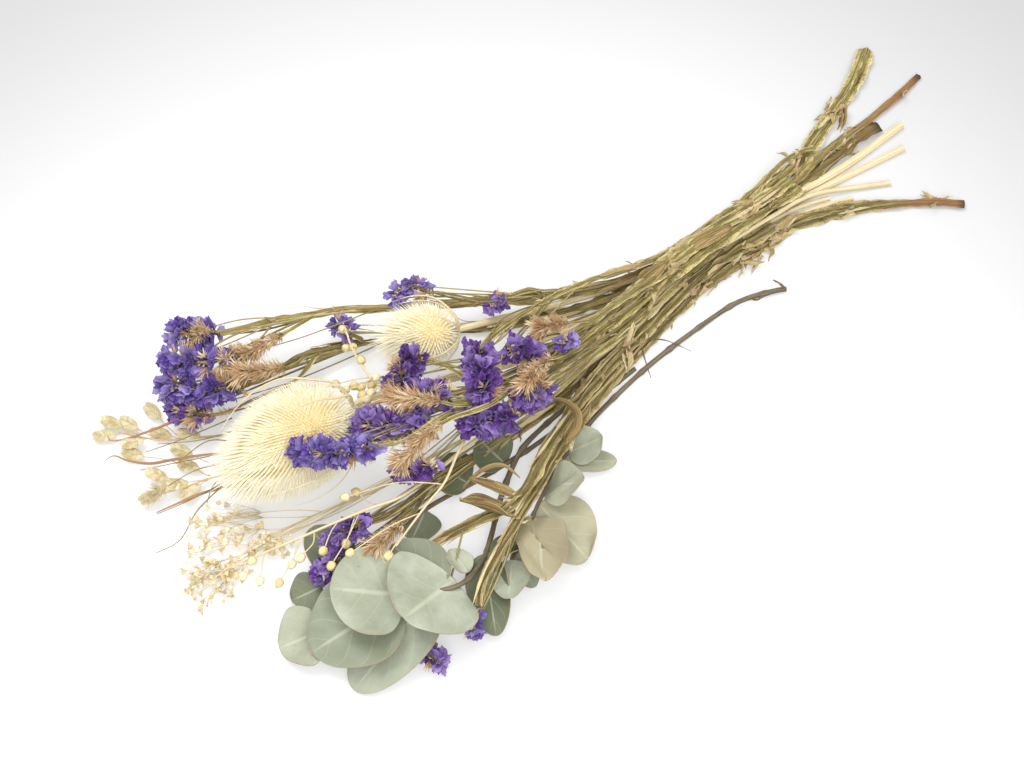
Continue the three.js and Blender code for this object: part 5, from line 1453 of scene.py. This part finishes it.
def downyTuft(piece, rng):
    # a grass head that has gone to down: fine hairs that lean forwards
    start, end = place(downyHead["from"]), place(downyHead["to"])
    way = unit(end - start)
    hairs = []
    for _ in range(downyHead["hairs"]):
        lean = unit(way * 0.7 + unit(rng.normal(size=3)) * (0.3 + 0.7 * rng.random()))
        size = downyHead["reach"] * (0.6 + 0.5 * rng.random())
        root = start + (end - start) * rng.random()
        hairs.append((turnedTo(root, lean, (0.5, 0.5, size), 0), rng.random()))
    strew(piece, [hair], [hairs])


def fuzz(piece, at, way, rng):
    # short hairs that stand out round a spikelet
    hairs = []
    for _ in range(grassRule["hairs"]):
        lean = unit(way * 0.9 + unit(rng.normal(size=3)) * 0.8)
        size = grassRule["hair"] * (0.6 + 0.6 * rng.random())
        root = at + way * grassRule["length"] * 0.75 * rng.random() + lean
        hairs.append((turnedTo(root, lean, (0.35, 0.35, size), 0), rng.random()))
    strew(piece, [hair], [hairs])


def makeSprays():
    for n, (name, spots) in enumerate(hangers.items()):
        kind = name.split("_")[0]
        strand = strandsOf[name][0]
        piece = bmesh.new()
        rng = np.random.default_rng(1200 + n)
        line = smoothLine(strand["points"], 3)
        stick(piece, roundStalk(line, lambda v: widthAt(strand["width"], v) * (1 - 0.45 * v), 8))
        axis = chords(strand["points"], round(len(strand["points"]) / 7))
        for k, (root, at) in enumerate(hanging(axis, spots, hangerRules[kind], 51 + n)):
            way = unit(at - root)
            if kind == "flax":
                stick(piece, roundStalk(bowed(root, at - way * 5.2, 30 * n + k), 0.4, 5))
                size = (bollWidth, bollWidth, bollLength)
                stand = turnedTo(at - way * bollLength, way, size, 6 * rng.random())
                strew(piece, [boll], [[(stand, rng.random())]])
            elif kind == "grass":
                stick(piece, roundStalk(bowed(root, at - way * 12, 30 * n + k), 0.3, 5))
                spikelet(piece, at - way * 13.5, way, np.random.default_rng(40 * n + k))
                fuzz(piece, at - way * 13.5, way, rng)
            else:
                broomHeads(piece, root, at - way * 2, rng)
                if k % 2:  # a long fine stalk beside the main one
                    start = pointAt(strand["points"], 0.62 + 0.2 * rng.random())
                    stick(piece, roundStalk(bowed(start, root, 700 + k, 0.06), 0.35, 4), rng.random())
        for k, way in enumerate(curls.get(name, [])):
            rolledLeaf(piece, way, 0.85, 0.45, 0.3 + 0.1 * k, 2)
        for way in wisps.get(name, []):
            stick(piece, roundStalk(traced(way, 3), lambda v: 0.5 - 0.25 * v, 5), 0.1, 3)
        if name == downyHead["spray"]:
            downyTuft(piece, rng)
        finish, slot = sprayFinish[kind]
        stalk = rosyStraw if kind == "grass" else bleachedStraw
        finishPiece(name, "heads", piece, [stalk, finish, curlBrown, staticeBark])


makeSprays()


# Studio: the photograph's camera, a white table and soft light

studio = {
    "card": "b4b4b4", "cardRoughness": 0.35, "tableHalf": 6,
    # the card's painted glow: its strength, the shift of its middle in m, and the distances in m where it
    # starts to fade and where it is gone
    "glow": 0.42, "glowShift": (-0.05, -0.06, 0), "glowFrom": 0.14, "glowTo": 0.58,
    "sky": (0.98, 0.98, 1.0, 1), "skyStrength": 0.54, "aim": (-0.03, 0, 0.02),
    "lamps": {"key": ((-0.3, 0.9, 1.9), 1.1, 23), "fill": ((-0.6, -1.0, 1.3), 1.2, 18),
              "side": ((1.4, -0.5, 1.6), 1.4, 7), "top": ((-0.15, -0.2, 1.5), 1.2, 8)},
}


def makeStudio():
    scene = bpy.context.scene
    scene.view_settings.view_transform = "Standard"
    middle = Vector((-footprintMiddle[0], -footprintMiddle[1], 0))
    stand = Vector(viewpoint())
    lens = bpy.data.cameras.new("camera")
    lens.lens, lens.sensor_width = photo["lens"], photo["sensor"]
    lens.clip_end = 50
    camera = bpy.data.objects.new("camera", lens)
    camera.location = stand * millimetre
    camera.rotation_euler = (middle - stand).to_track_quat("-Z", "Y").to_euler()
    scene.collection.objects.link(camera)
    scene.camera = camera

    sheet = bmesh.new()
    bmesh.ops.create_grid(sheet, x_segments=1, y_segments=1, size=studio["tableHalf"])
    mesh = bpy.data.meshes.new("table")
    sheet.to_mesh(mesh)
    sheet.free()
    # white card with a painted glow round the bunch, like a light table's but fading towards the corners, so
    # that shadows stay faint
    white, tree, shader = newMaterial("white_card_painted_glow")
    shader.inputs["Base Color"].default_value = hexColour(studio["card"])
    shader.inputs["Roughness"].default_value = studio["cardRoughness"]
    surface = addNode(tree, "TexCoord", {})
    away = addNode(tree, "VectorMath", {0: surface.outputs["Object"],
                   1: tuple(middle * millimetre + Vector(studio["glowShift"]))}, operation="DISTANCE")
    paintedGlow = addNode(tree, "MapRange", {"Value": away.outputs["Value"], "From Min": studio["glowFrom"],
                  "From Max": studio["glowTo"], "To Min": studio["glow"], "To Max": 0.0},
                  interpolation_type="SMOOTHSTEP")
    shader.inputs["Emission Color"].default_value = (1, 1, 1, 1)
    tree.links.new(paintedGlow.outputs["Result"], shader.inputs["Emission Strength"])
    mesh.materials.append(white)
    table = bpy.data.objects.new("table", mesh)
    scene.collection.objects.link(table)

    world = bpy.data.worlds.new("studio")
    scene.world = world
    world.use_nodes = True
    world.node_tree.nodes["Background"].inputs["Color"].default_value = studio["sky"]
    world.node_tree.nodes["Background"].inputs["Strength"].default_value = studio["skyStrength"]

    for name, (spot, size, power) in studio["lamps"].items():
        lamp = bpy.data.lights.new(name, "AREA")
        lamp.shape, lamp.size, lamp.energy = "DISK", size, power
        holder = bpy.data.objects.new(name, lamp)
        holder.location = spot
        holder.rotation_euler = (Vector(studio["aim"]) - Vector(spot)).to_track_quat("-Z", "Y").to_euler()
        scene.collection.objects.link(holder)
    print("studio ready")


makeStudio()
